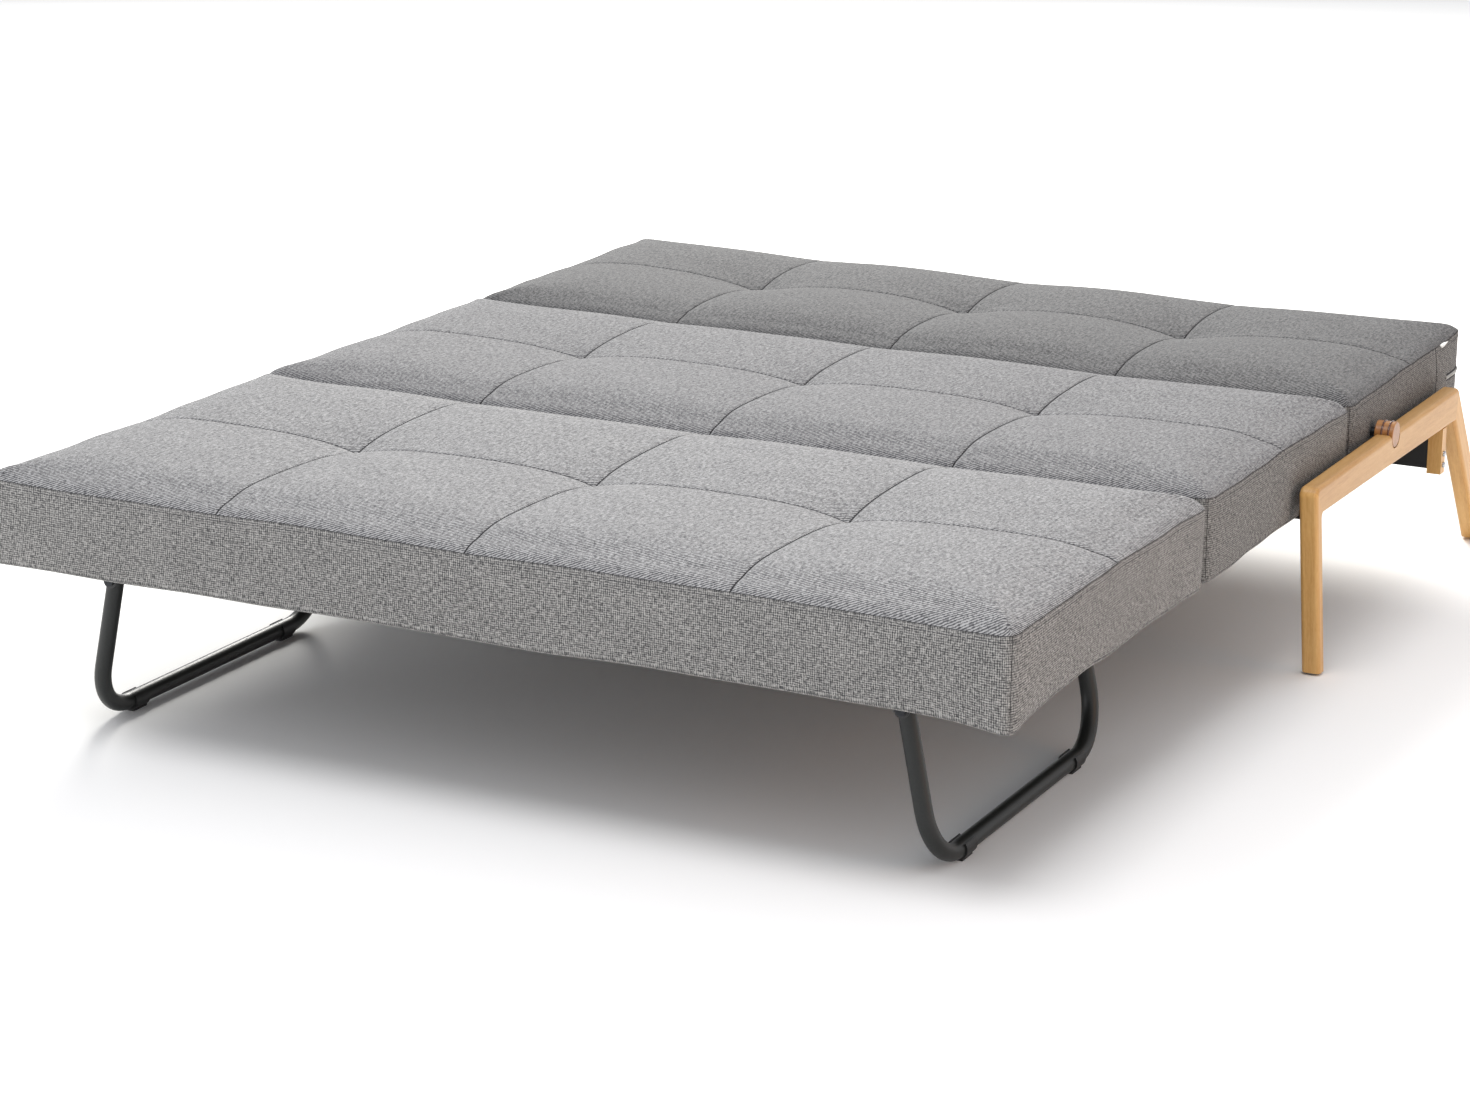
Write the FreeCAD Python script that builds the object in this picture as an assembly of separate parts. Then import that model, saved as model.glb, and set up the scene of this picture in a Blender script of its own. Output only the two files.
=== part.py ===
"""Three-section futon sofa bed, opened flat as a bed.

Frame of the part: +X is the sleeper's right, +Y runs from the foot end to the head end, +Z is up.
The floor is Z = 0, and the origin is the middle of the part's footprint.
While the pieces are made, Y is counted from the foot end of the mattress; write_node() moves them.
All sizes are in millimetres.
"""
import FreeCAD
import Part
import math
import os

V = FreeCAD.Vector
AXIS_X = V(1, 0, 0)
AXIS_Y = V(0, 1, 0)
AXIS_Z = V(0, 0, 1)

# ---------------------------------------------------------------- modelling allowances
overrun = 1.0
tiny = 0.01

# ---------------------------------------------------------------- mattress
bed_width = 1600.0
foot_length = 725.0
seat_length = 660.0
back_length = 615.0
underside_z = 248.0
cushion_height = 142.0
crease_gap = 3.0
cushion_corner_r = 22.0
cushion_edge_r = 18.0
skirt_width = 40.0
soft_gap = 0.3
cloth_thickness = 1.7
cutout_gap = 2.0

# ---------------------------------------------------------------- steel frames and slats
tube_size = 25.0
tube_wall = 1.5
side_tube_inset = 65.0
frame_lift = 2.0
slat_width = 55.0
slat_thickness = 8.0
slat_edge_r = 3.2
foot_slat_count = 6
seat_slat_count = 5
back_slat_count = 5
slat_margin = 35.0

# ---------------------------------------------------------------- foot-to-seat hinge
hinge_drop = 23.0
hinge_tube_setback = 65.0
hinge_stations = (-345.0, 0.0, 345.0)
hinge_arm_thickness = 5.0
hinge_arm_gap = 0.6
hinge_arm_depth = 18.0
hinge_arm_below = 2.0
hinge_barrel_r = 11.0
hinge_tab_width = 22.0
pin_r = 4.0
pin_clearance = 0.05
pin_head_r = 7.0
pin_head_height = 3.0

# ---------------------------------------------------------------- sled legs
sled_front_y = 70.0
sled_depth = 590.0
sled_run_x = 667.0
sled_splay_deg = 11.5
sled_tube_r = 12.5
sled_tube_wall = 1.8
sled_bend_r = 80.0
sled_pivot_drop = 17.0
sled_top_stub = 8.0
clip_thickness = 2.5
clip_fit = 0.05
clip_length = 34.0
clip_sole_width = 16.0
clip_sole_below = 3.5
clip_mouth_deg = 100.0
clevis_plate = 3.0
clevis_width = 50.0
clevis_side_gap = 0.5
clevis_ear_r = 11.0

# ---------------------------------------------------------------- wooden side frames
frame_side_gap = 14.0
rail_thickness = 30.0
rail_front_y = 1086.0
rail_rear_y = 1851.0
rail_front_top = 313.0
rail_rear_top = 311.0
rail_front_depth = 46.0
rail_rear_depth = 56.0
frame_outer_corner_r = 14.0
frame_inner_corner_r = 5.0
frame_edge_r = 7.0
front_leg_depth = 26.0
front_leg_rake = 63.0
rear_leg_depth = 43.0
rear_leg_rake_deg = 37.0
glide_height = 4.0
glide_r = 10.0

# ---------------------------------------------------------------- back pivot
pivot_setback = 105.0
pivot_z = 310.0
back_sweep_gap = 2.0
knob_r = 20.5
knob_inner_gap = 13.0
knob_edge_r = 1.5
knob_bore_depth = 22.0
ring_r = 1.6
ring_sink = 0.2
ring_offsets = (12.0, 23.0)
cradle_gap = 0.4
shaft_r = 8.0
shaft_plug_length = 40.0
shaft_hole_gap = 1.0
shaft_end_gap = 1.0
back_tube_r = 12.5
back_pocket_setback = 60.0
back_rear_tube_inset = 60.0

# ---------------------------------------------------------------- rear crossbeam
beam_y = 1783.0
beam_thickness = 20.0
beam_bottom = 186.0
beam_wall = 2.0
beam_end_plate = 3.0
post_width = 24.0
post_depth = 22.0
post_inset = 2.0
post_bottom = 178.0
beam_bolt_heights = (193.0, 212.0)
beam_bolt_r = 3.0
beam_bolt_head_r = 5.0
beam_bolt_head_height = 4.0
beam_bolt_dome_r = 2.8
beam_bolt_length = 30.0

# ---------------------------------------------------------------- seat brackets
bracket_stations = (1180.0, 1290.0)
bracket_length = 60.0
bracket_thickness = 4.0
bracket_height = 46.0
bracket_reach = 16.0
bracket_screw_spacing = 36.0
bracket_screw_rise = 32.0
bracket_screw_r = 2.5
bracket_screw_head_r = 5.0
bracket_screw_head_height = 3.0
bracket_screw_length = 22.0
bracket_bolt_r = 4.0
bracket_bolt_reach = 4.5
bracket_bolt_head_r = 6.5
bracket_bolt_head_height = 5.0

# ---------------------------------------------------------------- trim
tag_length = 26.0
tag_reach = 12.0
tag_thickness = 1.0
tag_from_rear = 92.0
tag_z = 365.0
zip_length = 60.0
zip_height = 5.0
zip_thickness = 2.0
zip_from_rear = 32.0
zip_z = 308.5

# ---------------------------------------------------------------- derived places
half_width = bed_width / 2
foot_end = foot_length
seat_end = foot_length + seat_length
back_end = seat_end + back_length
cushion_top = underside_z + cushion_height
tube_z = underside_z + frame_lift
side_tube_x = half_width - side_tube_inset
hinge_z = underside_z - hinge_drop
sled_rear_y = sled_front_y + sled_depth
sled_pivot_z = underside_z - sled_pivot_drop
sled_run_z = sled_tube_r + clip_sole_below
sled_leg_length = (sled_pivot_z - sled_run_z) / math.cos(math.radians(sled_splay_deg))
sled_pivot_x = sled_run_x - sled_leg_length * math.sin(math.radians(sled_splay_deg))
rail_inner_x = half_width + frame_side_gap
rail_outer_x = rail_inner_x + rail_thickness
pivot_y = seat_end + pivot_setback
back_sweep_r = pivot_setback - back_sweep_gap
back_tube_bottom = pivot_z - back_tube_r
knob_inner_x = half_width + knob_inner_gap
ring_outer_r = knob_r - ring_sink + ring_r
cradle_r = ring_outer_r + cradle_gap
hinge_seat_tube_y = foot_end + hinge_tube_setback
seat_rear_tube_y = seat_end - hinge_tube_setback
back_rear_tube_y = back_end - back_rear_tube_inset
foot_rear_tube_y = foot_end - hinge_tube_setback
rake = math.tan(math.radians(rear_leg_rake_deg))
rear_leg_run = rear_leg_depth / math.cos(math.radians(rear_leg_rake_deg))
rear_foot_end = rail_rear_y + (rail_rear_top - glide_height) * rake
origin_y = rear_foot_end / 2


# ---------------------------------------------------------------- helpers
def write_node(name, *solids):
    """Move the pieces from bed coordinates to the part's own frame and write one STEP file."""
    moved = []
    for solid in solids:
        copy = solid.copy()
        copy.translate(V(0, -origin_y, 0))
        moved.append(copy)
    shape = moved[0] if len(moved) == 1 else Part.makeCompound(moved)
    shape.exportStep("parts/" + name + ".step")
    box = shape.BoundBox
    print("%-22s %2d solid(s)  %7.0f cm3  z %.1f to %.1f"
          % (name, len(shape.Solids), shape.Volume / 1000, box.ZMin, box.ZMax))


def block(x0, x1, y0, y1, z0, z1):
    """Box between two corners."""
    return Part.makeBox(x1 - x0, y1 - y0, z1 - z0, V(x0, y0, z0))


def rod(radius, start, end):
    """Round bar between two points."""
    along = end - start
    return Part.makeCylinder(radius, along.Length, start, along)


def mirrored(solid):
    """The same piece on the other side of the bed."""
    return solid.mirror(V(0, 0, 0), AXIS_X)


def write_pair(name, *solids):
    """Write a right-hand piece and its mirror image as two nodes."""
    write_node("right_" + name, *solids)
    write_node("left_" + name, *[mirrored(solid) for solid in solids])


def plate_yz(points, x0, x1):
    """Flat plate cut to an outline in Y and Z, from x0 to x1."""
    loop = [V(x0, y, z) for y, z in points]
    face = Part.Face(Part.makePolygon(loop + [loop[0]]))
    return face.extrude(V(x1 - x0, 0, 0))


def edges_along(solid, direction, keep):
    """Straight edges of a solid that run along a direction and pass the test on their middle point."""
    found = []
    for edge in solid.Edges:
        if edge.Curve.TypeId != "Part::GeomLine":
            continue
        if abs(edge.Curve.Direction.dot(direction)) < 0.999:
            continue
        if keep(edge.CenterOfMass):
            found.append(edge)
    return found


def square_tube(x0, x1, y0, y1, z0):
    """Square steel tube lying along its longer side, open at both ends."""
    outer = block(x0, x1, y0, y1, z0, z0 + tube_size)
    if x1 - x0 > y1 - y0:
        inner = block(x0, x1, y0 + tube_wall, y1 - tube_wall, z0 + tube_wall, z0 + tube_size - tube_wall)
    else:
        inner = block(x0 + tube_wall, x1 - tube_wall, y0, y1, z0 + tube_wall, z0 + tube_size - tube_wall)
    return outer.cut(inner)


# ---------------------------------------------------------------- mattress sections
def cushion_block(y0, y1):
    """Upholstered block with rounded upright corners and a rounded top edge."""
    body = block(-half_width, half_width, y0, y1, underside_z, cushion_top)
    body = body.makeFillet(cushion_corner_r, edges_along(body, AXIS_Z, lambda p: True))
    rim = [edge for edge in body.Edges if abs(edge.BoundBox.ZMin - cushion_top) < tiny]
    return body.makeFillet(cushion_edge_r, rim)


def pocket(y0, y1, top):
    """Room for the steel frame inside a cushion, open underneath."""
    x = half_width - skirt_width
    return block(-x, x, y0, y1, underside_z - overrun, top)


def flat_section_cushion(y0, y1):
    """Cushion of the foot or seat section: foam and cover over the slats, with a skirt round the frame."""
    slat_top = tube_z + tube_size + slat_thickness
    room = pocket(y0 + skirt_width, y1 - skirt_width, slat_top + soft_gap)
    return cushion_block(y0, y1).cut(room)


def cloth_panel(y0, y1):
    """Thin cloth that closes a cushion's pocket from below."""
    x = half_width - skirt_width - soft_gap
    return block(-x, x, y0 + soft_gap, y1 - soft_gap, underside_z, underside_z + cloth_thickness)


def slats(y0, y1, z0, count):
    """Evenly spaced wooden slats across the long tubes."""
    first = y0 + slat_margin + slat_width / 2
    last = y1 - slat_margin - slat_width / 2
    x = side_tube_x + tube_size / 2
    pitch = (last - first) / (count - 1)
    made = []
    for index in range(count):
        middle = first + pitch * index
        slat = block(-x, x, middle - slat_width / 2, middle + slat_width / 2, z0, z0 + slat_thickness)
        made.append(slat.makeFillet(slat_edge_r, edges_along(slat, AXIS_X, lambda p: True)))
    return made


def write_square_frame(section, front_y, rear_y):
    """Square-tube frame of the foot or seat section: two cross tubes with three long tubes between them."""
    half = tube_size / 2
    end_x = side_tube_x + half
    write_node(section + "_front_tube", square_tube(-end_x, end_x, front_y - half, front_y + half, tube_z))
    write_node(section + "_rear_tube", square_tube(-end_x, end_x, rear_y - half, rear_y + half, tube_z))
    side = square_tube(side_tube_x - half, side_tube_x + half, front_y + half, rear_y - half, tube_z)
    if section == "seat":
        for y in bracket_stations:
            side = side.cut(bracket_bolt(y, pin_clearance))
    write_pair(section + "_side_tube", side)
    write_node(section + "_centre_tube", square_tube(-half, half, front_y + half, rear_y - half, tube_z))


def foot_section():
    y0 = 0.0
    y1 = foot_end - crease_gap / 2
    cushion = flat_section_cushion(y0, y1)
    cover = cloth_panel(y0 + skirt_width, y1 - skirt_width)
    for x in (-sled_pivot_x, sled_pivot_x):
        for y in (sled_front_y, sled_rear_y):
            cover = cover.cut(grown(clevis_plate_block(x, y), cutout_gap))
    for x in hinge_stations:
        cover = cover.cut(grown(hinge_tab(x + arm_step(), foot_rear_tube_y), cutout_gap))
    write_node("foot_cushion", cushion)
    write_node("foot_dust_cover", cover)
    write_square_frame("foot", sled_front_y, foot_rear_tube_y)
    inner0 = sled_front_y + tube_size / 2
    inner1 = foot_rear_tube_y - tube_size / 2
    write_node("foot_slats", *slats(inner0, inner1, tube_z + tube_size, foot_slat_count))


def seat_section():
    y0 = foot_end + crease_gap / 2
    y1 = seat_end - crease_gap / 2
    cushion = flat_section_cushion(y0, y1)
    cover = cloth_panel(y0 + skirt_width, y1 - skirt_width)
    for y in bracket_stations:
        notch = grown(bracket_foot(y), cutout_gap)
        for cut in (notch, mirrored(notch)):
            cushion = cushion.cut(cut)
            cover = cover.cut(cut)
    for x in hinge_stations:
        cover = cover.cut(grown(hinge_tab(x - arm_step(), hinge_seat_tube_y), cutout_gap))
    write_node("seat_cushion", cushion)
    write_node("seat_dust_cover", cover)
    write_square_frame("seat", hinge_seat_tube_y, seat_rear_tube_y)
    inner0 = hinge_seat_tube_y + tube_size / 2
    inner1 = seat_rear_tube_y - tube_size / 2
    write_node("seat_slats", *slats(inner0, inner1, tube_z + tube_size, seat_slat_count))


def grown(solid, gap):
    """Box round a piece, larger by a gap on every side."""
    box = solid.BoundBox
    return block(box.XMin - gap, box.XMax + gap, box.YMin - gap, box.YMax + gap,
                 box.ZMin - gap, box.ZMax + gap)


# ---------------------------------------------------------------- foot-to-seat hinge
def arm_step():
    """Half the distance between the middles of a hinge's two arms."""
    return (hinge_arm_thickness + hinge_arm_gap) / 2


def hinge_tab(x, tube_y):
    """Upright tab of a hinge arm, welded under a cross tube."""
    half = hinge_arm_thickness / 2
    return block(x - half, x + half, tube_y - hinge_tab_width / 2, tube_y + hinge_tab_width / 2,
                 underside_z - hinge_arm_below - hinge_arm_depth, tube_z)


def hinge_arm(x, tube_y):
    """Flat arm from a cross tube to the hinge pin, kept below the cushion."""
    half = hinge_arm_thickness / 2
    side = 1 if tube_y > foot_end else -1
    top = underside_z - hinge_arm_below
    low = top - hinge_arm_depth
    end = tube_y + side * hinge_tab_width / 2
    outline = [(foot_end, hinge_z), (foot_end, top), (end, top), (end, low),
               (foot_end + side * 2 * hinge_barrel_r, low), (foot_end + side * hinge_barrel_r, hinge_z)]
    arm = plate_yz(outline, x - half, x + half)
    arm = arm.fuse(rod(hinge_barrel_r, V(x - half, foot_end, hinge_z), V(x + half, foot_end, hinge_z)))
    arm = arm.fuse(hinge_tab(x, tube_y)).removeSplitter()
    wide = 2 * hinge_arm_thickness
    hole = rod(pin_r + pin_clearance, V(x - wide, foot_end, hinge_z), V(x + wide, foot_end, hinge_z))
    return arm.cut(hole)


def hinges():
    seat_arms = [hinge_arm(x - arm_step(), hinge_seat_tube_y) for x in hinge_stations]
    foot_arms = [hinge_arm(x + arm_step(), foot_rear_tube_y) for x in hinge_stations]
    pins = []
    reach = hinge_arm_thickness + hinge_arm_gap / 2
    for x in hinge_stations:
        start = V(x - reach - pin_head_height, foot_end, hinge_z)
        end = V(x + reach + pin_head_height, foot_end, hinge_z)
        shank = rod(pin_r, start, end)
        head = rod(pin_head_r, start, V(x - reach, foot_end, hinge_z))
        nut = rod(pin_head_r, V(x + reach, foot_end, hinge_z), end)
        pins.append(shank.fuse(head).fuse(nut).removeSplitter())
    write_node("seat_hinge_arms", *seat_arms)
    write_node("foot_hinge_arms", *foot_arms)
    write_node("hinge_pins", *pins)


# ---------------------------------------------------------------- sled legs
def sled_bar(radius, stub):
    """Solid U of round bar in the plane X = 0, with its pivots at Z = 0; stub is its length above them."""
    low = -sled_leg_length
    turn = low + sled_bend_r
    wide = 2 * radius
    front_turn_y = sled_front_y + sled_bend_r
    rear_turn_y = sled_rear_y - sled_bend_r
    bar = rod(radius, V(0, front_turn_y, low), V(0, rear_turn_y, low))
    for leg_y, turn_y in ((sled_front_y, front_turn_y), (sled_rear_y, rear_turn_y)):
        bar = bar.fuse(rod(radius, V(0, leg_y, turn), V(0, leg_y, stub)))
        ring = Part.makeTorus(sled_bend_r, radius, V(0, turn_y, turn), AXIS_X)
        outside = leg_y + math.copysign(wide, leg_y - turn_y)
        quarter = block(-wide, wide, min(turn_y, outside), max(turn_y, outside), low - wide, turn)
        bar = bar.fuse(ring.common(quarter))
    return bar


def sled_leg():
    """U of bent tube, upright below its pivot, then leaned out by the splay angle."""
    hollow = sled_bar(sled_tube_r - sled_tube_wall, sled_top_stub + overrun)
    leg = sled_bar(sled_tube_r, sled_top_stub).cut(hollow)
    for y in (sled_front_y, sled_rear_y):
        leg = leg.cut(rod(pin_r + pin_clearance, V(0, y - 2 * sled_tube_r, 0), V(0, y + 2 * sled_tube_r, 0)))
    leg.rotate(V(0, 0, 0), AXIS_Y, -sled_splay_deg)
    leg.translate(V(sled_pivot_x, 0, sled_pivot_z))
    return leg


def sled_clip(y):
    """Plastic glide clipped on the bottom run, open at the top, with a flat sole on the floor."""
    inner_r = sled_tube_r + clip_fit
    outer_r = inner_r + clip_thickness
    start = V(sled_run_x, y - clip_length / 2, sled_run_z)
    end = V(sled_run_x, y + clip_length / 2, sled_run_z)
    sole = block(sled_run_x - clip_sole_width / 2, sled_run_x + clip_sole_width / 2,
                 start.y, end.y, 0, sled_run_z)
    body = rod(outer_r, start, end).fuse(sole).removeSplitter()
    half_mouth = math.radians(clip_mouth_deg / 2)
    far = 2 * outer_r
    far_x = far * math.sin(half_mouth)
    far_z = sled_run_z + far * math.cos(half_mouth)
    mouth = [V(sled_run_x, start.y, sled_run_z),
             V(sled_run_x - far_x, start.y, far_z),
             V(sled_run_x + far_x, start.y, far_z)]
    wedge = Part.Face(Part.makePolygon(mouth + [mouth[0]])).extrude(V(0, clip_length, 0))
    bore = rod(inner_r, start, end)
    return body.cut(bore).cut(wedge)


def clevis_plate_block(x, y):
    """Base plate of a leg bracket, flat under the cross tube."""
    depth = sled_tube_r + clevis_side_gap + clevis_plate
    return block(x - clevis_width / 2, x + clevis_width / 2, y - depth, y + depth,
                 tube_z - clevis_plate, tube_z)


def clevis(x, y):
    """Bracket with two ears that carries one top end of a sled leg."""
    near = sled_tube_r + clevis_side_gap
    bracket = clevis_plate_block(x, y)
    for y0 in (y - near - clevis_plate, y + near):
        y1 = y0 + clevis_plate
        ear = block(x - clevis_ear_r, x + clevis_ear_r, y0, y1, sled_pivot_z, tube_z - clevis_plate / 2)
        ear = ear.fuse(rod(clevis_ear_r, V(x, y0, sled_pivot_z), V(x, y1, sled_pivot_z)))
        bracket = bracket.fuse(ear)
    hole = rod(pin_r + pin_clearance, V(x, y - 2 * near, sled_pivot_z), V(x, y + 2 * near, sled_pivot_z))
    return bracket.removeSplitter().cut(hole)


def clevis_pin(x, y):
    """Headed pin through a bracket's ears and the leg's tube."""
    reach = sled_tube_r + clevis_side_gap + clevis_plate
    start = V(x, y - reach - pin_head_height, sled_pivot_z)
    end = V(x, y + reach + pin_head_height, sled_pivot_z)
    head = rod(pin_head_r, start, V(x, y - reach, sled_pivot_z))
    nut = rod(pin_head_r, V(x, y + reach, sled_pivot_z), end)
    return rod(pin_r, start, end).fuse(head).fuse(nut).removeSplitter()


def sled_legs():
    clip_ys = (sled_front_y + sled_bend_r + clip_length / 2, sled_rear_y - sled_bend_r - clip_length / 2)
    pivot_ys = (sled_front_y, sled_rear_y)
    write_pair("sled_leg", sled_leg())
    write_pair("sled_clips", *[sled_clip(y) for y in clip_ys])
    write_pair("leg_brackets", *[clevis(sled_pivot_x, y) for y in pivot_ys])
    write_pair("leg_pins", *[clevis_pin(sled_pivot_x, y) for y in pivot_ys])


# ---------------------------------------------------------------- back section
def back_cushion_block():
    """Back section, with a front end rounded about the pivot so that it turns clear of the seat."""
    y1 = back_end
    body = cushion_block(seat_end, y1)
    ahead = block(-bed_width, bed_width, foot_end, pivot_y, 0, 2 * cushion_top)
    drum = rod(back_sweep_r, V(-bed_width, pivot_y, pivot_z), V(bed_width, pivot_y, pivot_z))
    return body.cut(ahead.cut(drum))


def back_section():
    y0 = pivot_y - back_pocket_setback
    y1 = back_end - skirt_width
    tube_top = pivot_z + back_tube_r
    room = pocket(y0, y1, tube_top + slat_thickness + soft_gap)
    hole = rod(shaft_r + shaft_hole_gap, V(-bed_width, pivot_y, pivot_z), V(bed_width, pivot_y, pivot_z))
    write_node("back_cushion", back_cushion_block().cut(room).cut(hole))
    write_node("back_rear_cover", cloth_panel(y0, y1))
    x = half_width - skirt_width - soft_gap
    pad = block(-x, x, y0 + soft_gap, y1 - soft_gap,
                underside_z + cloth_thickness + soft_gap, back_tube_bottom - soft_gap)
    write_node("back_lower_pad", pad)
    back_frame()
    inner0 = pivot_y + back_tube_r
    inner1 = back_rear_tube_y - tube_size / 2
    write_node("back_slats", *slats(inner0, inner1, tube_top, back_slat_count))


def back_frame():
    """Frame of the back section: its front cross tube is round and lies on the pivot axis."""
    half = tube_size / 2
    end_x = side_tube_x + half
    start = V(-end_x, pivot_y, pivot_z)
    end = V(end_x, pivot_y, pivot_z)
    front = rod(back_tube_r, start, end).cut(rod(back_tube_r - tube_wall, start, end))
    write_node("back_front_tube", front)
    write_node("back_rear_tube",
               square_tube(-end_x, end_x, back_rear_tube_y - half, back_rear_tube_y + half, back_tube_bottom))
    saddle = rod(back_tube_r, start - AXIS_X, end + AXIS_X)
    side = square_tube(side_tube_x - half, side_tube_x + half, pivot_y, back_rear_tube_y - half,
                       back_tube_bottom).cut(saddle)
    write_pair("back_side_tube", side)
    centre = square_tube(-half, half, pivot_y, back_rear_tube_y - half, back_tube_bottom)
    write_node("back_centre_tube", centre.cut(saddle))


def knob():
    """Turned wooden knob that lies in the rail's cradle, with grooves for two rings."""
    start = V(knob_inner_x, pivot_y, pivot_z)
    end = V(rail_outer_x, pivot_y, pivot_z)
    body = rod(knob_r, start, end)
    rims = [edge for edge in body.Edges if edge.Curve.TypeId == "Part::GeomCircle"]
    body = body.makeFillet(knob_edge_r, rims)
    body = body.cut(rod(shaft_r + pin_clearance, start, start + V(knob_bore_depth, 0, 0)))
    for offset in ring_offsets:
        groove = Part.makeTorus(knob_r - ring_sink, ring_r + pin_clearance, start + V(offset, 0, 0), AXIS_X)
        body = body.cut(groove)
    return body


def knob_rings():
    made = []
    for offset in ring_offsets:
        centre = V(knob_inner_x + offset, pivot_y, pivot_z)
        made.append(Part.makeTorus(knob_r - ring_sink, ring_r, centre, AXIS_X))
    return made


def pivot_shaft():
    """Steel shaft plugged into the cross tube, out through the cushion and into the knob."""
    tube_end = side_tube_x + tube_size / 2
    plug_r = back_tube_r - tube_wall - pin_clearance
    plug = rod(plug_r, V(tube_end - shaft_plug_length, pivot_y, pivot_z), V(tube_end, pivot_y, pivot_z))
    nose = rod(shaft_r, V(tube_end, pivot_y, pivot_z),
               V(knob_inner_x + knob_bore_depth - shaft_end_gap, pivot_y, pivot_z))
    return plug.fuse(nose).removeSplitter()


def back_pivot():
    write_pair("pivot_shaft", pivot_shaft())
    write_pair("knob", knob())
    write_pair("knob_rings", *knob_rings())


def back_trim():
    """Blank cloth tag and zip end on the back section's right side."""
    x = half_width + soft_gap
    y1 = back_end - tag_from_rear
    write_node("side_tag", block(x, x + tag_reach, y1 - tag_length, y1, tag_z, tag_z + tag_thickness))
    y1 = back_end - zip_from_rear
    slider = block(x, x + zip_thickness, y1 - zip_length, y1, zip_z, zip_z + zip_height)
    write_node("zip_end", slider)


# ---------------------------------------------------------------- wooden side frames
def frame_corners():
    """Corners of the side frame's outline: outer and inner corner at the front, then at the rear."""
    drop = rail_front_top - glide_height
    front_inner_z = rail_front_top - rail_front_depth
    front_inner_y = rail_front_y + front_leg_rake * rail_front_depth / drop + front_leg_depth
    rear_inner_y = rail_rear_y + rail_rear_depth * rake - rear_leg_run
    return ((rail_front_y, rail_front_top), (front_inner_y, front_inner_z),
            (rail_rear_y, rail_rear_top), (rear_inner_y, rail_rear_top - rail_rear_depth))


def rail_underside_at(y):
    """Height of the rail's lower face, which falls slightly towards the head."""
    front, rear = frame_corners()[1], frame_corners()[3]
    return front[1] + (y - front[0]) / (rear[0] - front[0]) * (rear[1] - front[1])


def side_frame_blank():
    """Front leg, rail and rear leg as one rounded piece, before it is cut at the mitres."""
    front_outer, front_inner, rear_outer, rear_inner = frame_corners()
    front_foot = rail_front_y + front_leg_rake
    outline = [front_outer, rear_outer,
               (rear_foot_end, glide_height), (rear_foot_end - rear_leg_run, glide_height),
               rear_inner, front_inner,
               (front_foot + front_leg_depth, glide_height), (front_foot, glide_height)]
    blank = plate_yz(outline, rail_inner_x, rail_outer_x)
    inner_z = max(front_inner[1], rear_inner[1])
    outer_corners = edges_along(blank, AXIS_X, lambda p: p.z > inner_z + tiny)
    blank = blank.makeFillet(frame_outer_corner_r, outer_corners)
    inner_corners = edges_along(blank, AXIS_X, lambda p: glide_height + tiny < p.z <= inner_z + tiny)
    blank = blank.makeFillet(frame_inner_corner_r, inner_corners)
    rims = []
    for edge in blank.Edges:
        box = edge.BoundBox
        on_side = box.XLength < tiny
        on_sole = box.ZMax < glide_height + tiny
        if on_side and not on_sole:
            rims.append(edge)
    return blank.makeFillet(frame_edge_r, rims)


def rail_zone():
    """Space between the two mitre planes."""
    front_outer, front_inner, rear_outer, rear_inner = frame_corners()
    above = []
    below = []
    for outer, inner in ((front_outer, front_inner), (rear_outer, rear_inner)):
        dy = outer[0] - inner[0]
        dz = outer[1] - inner[1]
        above.append((outer[0] + dy, outer[1] + dz))
        below.append((inner[0] - dy / 2, inner[1] - dz / 2))
    return plate_yz([above[0], above[1], below[1], below[0]], rail_inner_x - overrun, rail_outer_x + overrun)


def side_frames():
    """Mitre the blank into rail and legs, then cut the knob's cradle and the screw holes in the rail."""
    blank = side_frame_blank()
    zone = rail_zone()
    rail = blank.common(zone)
    legs = sorted(blank.cut(zone).Solids, key=lambda leg: leg.CenterOfMass.y)
    rail = rail.cut(rod(cradle_r, V(half_width, pivot_y, pivot_z), V(bed_width, pivot_y, pivot_z)))
    for station in bracket_stations:
        for screw in bracket_screws(station, pin_clearance):
            rail = rail.cut(screw)
    write_pair("side_rail", rail.Solids[0])
    write_pair("front_leg", legs[0])
    write_pair("rear_leg", legs[1])
    glides = leg_glides()
    write_node("leg_glides", *(glides + [mirrored(glide) for glide in glides]))


def leg_glides():
    """Round pads under the two feet of the right-hand side frame."""
    x = (rail_inner_x + rail_outer_x) / 2
    front_foot = rail_front_y + front_leg_rake + front_leg_depth / 2
    rear_foot = rear_foot_end - rear_leg_run / 2
    return [rod(glide_r, V(x, y, 0), V(x, y, glide_height)) for y in (front_foot, rear_foot)]


# ---------------------------------------------------------------- seat brackets
def bracket_foot(y):
    """Flat leg of an angle bracket, under the seat's side tube."""
    return block(side_tube_x - bracket_reach, rail_inner_x, y - bracket_length / 2, y + bracket_length / 2,
                 tube_z - bracket_thickness, tube_z)


def bracket_screws(y, extra=0.0):
    """Two wood screws through a bracket's upright leg into the rail; extra widens them for the holes."""
    made = []
    face_x = rail_inner_x - bracket_thickness
    screw_z = tube_z + bracket_screw_rise
    head_x = face_x - bracket_screw_head_height
    for screw_y in (y - bracket_screw_spacing / 2, y + bracket_screw_spacing / 2):
        shank = rod(bracket_screw_r + extra, V(head_x, screw_y, screw_z),
                    V(face_x + bracket_screw_length, screw_y, screw_z))
        if extra == 0.0:
            head = rod(bracket_screw_head_r, V(head_x, screw_y, screw_z), V(face_x, screw_y, screw_z))
            shank = shank.fuse(head).removeSplitter()
        made.append(shank)
    return made


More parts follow.
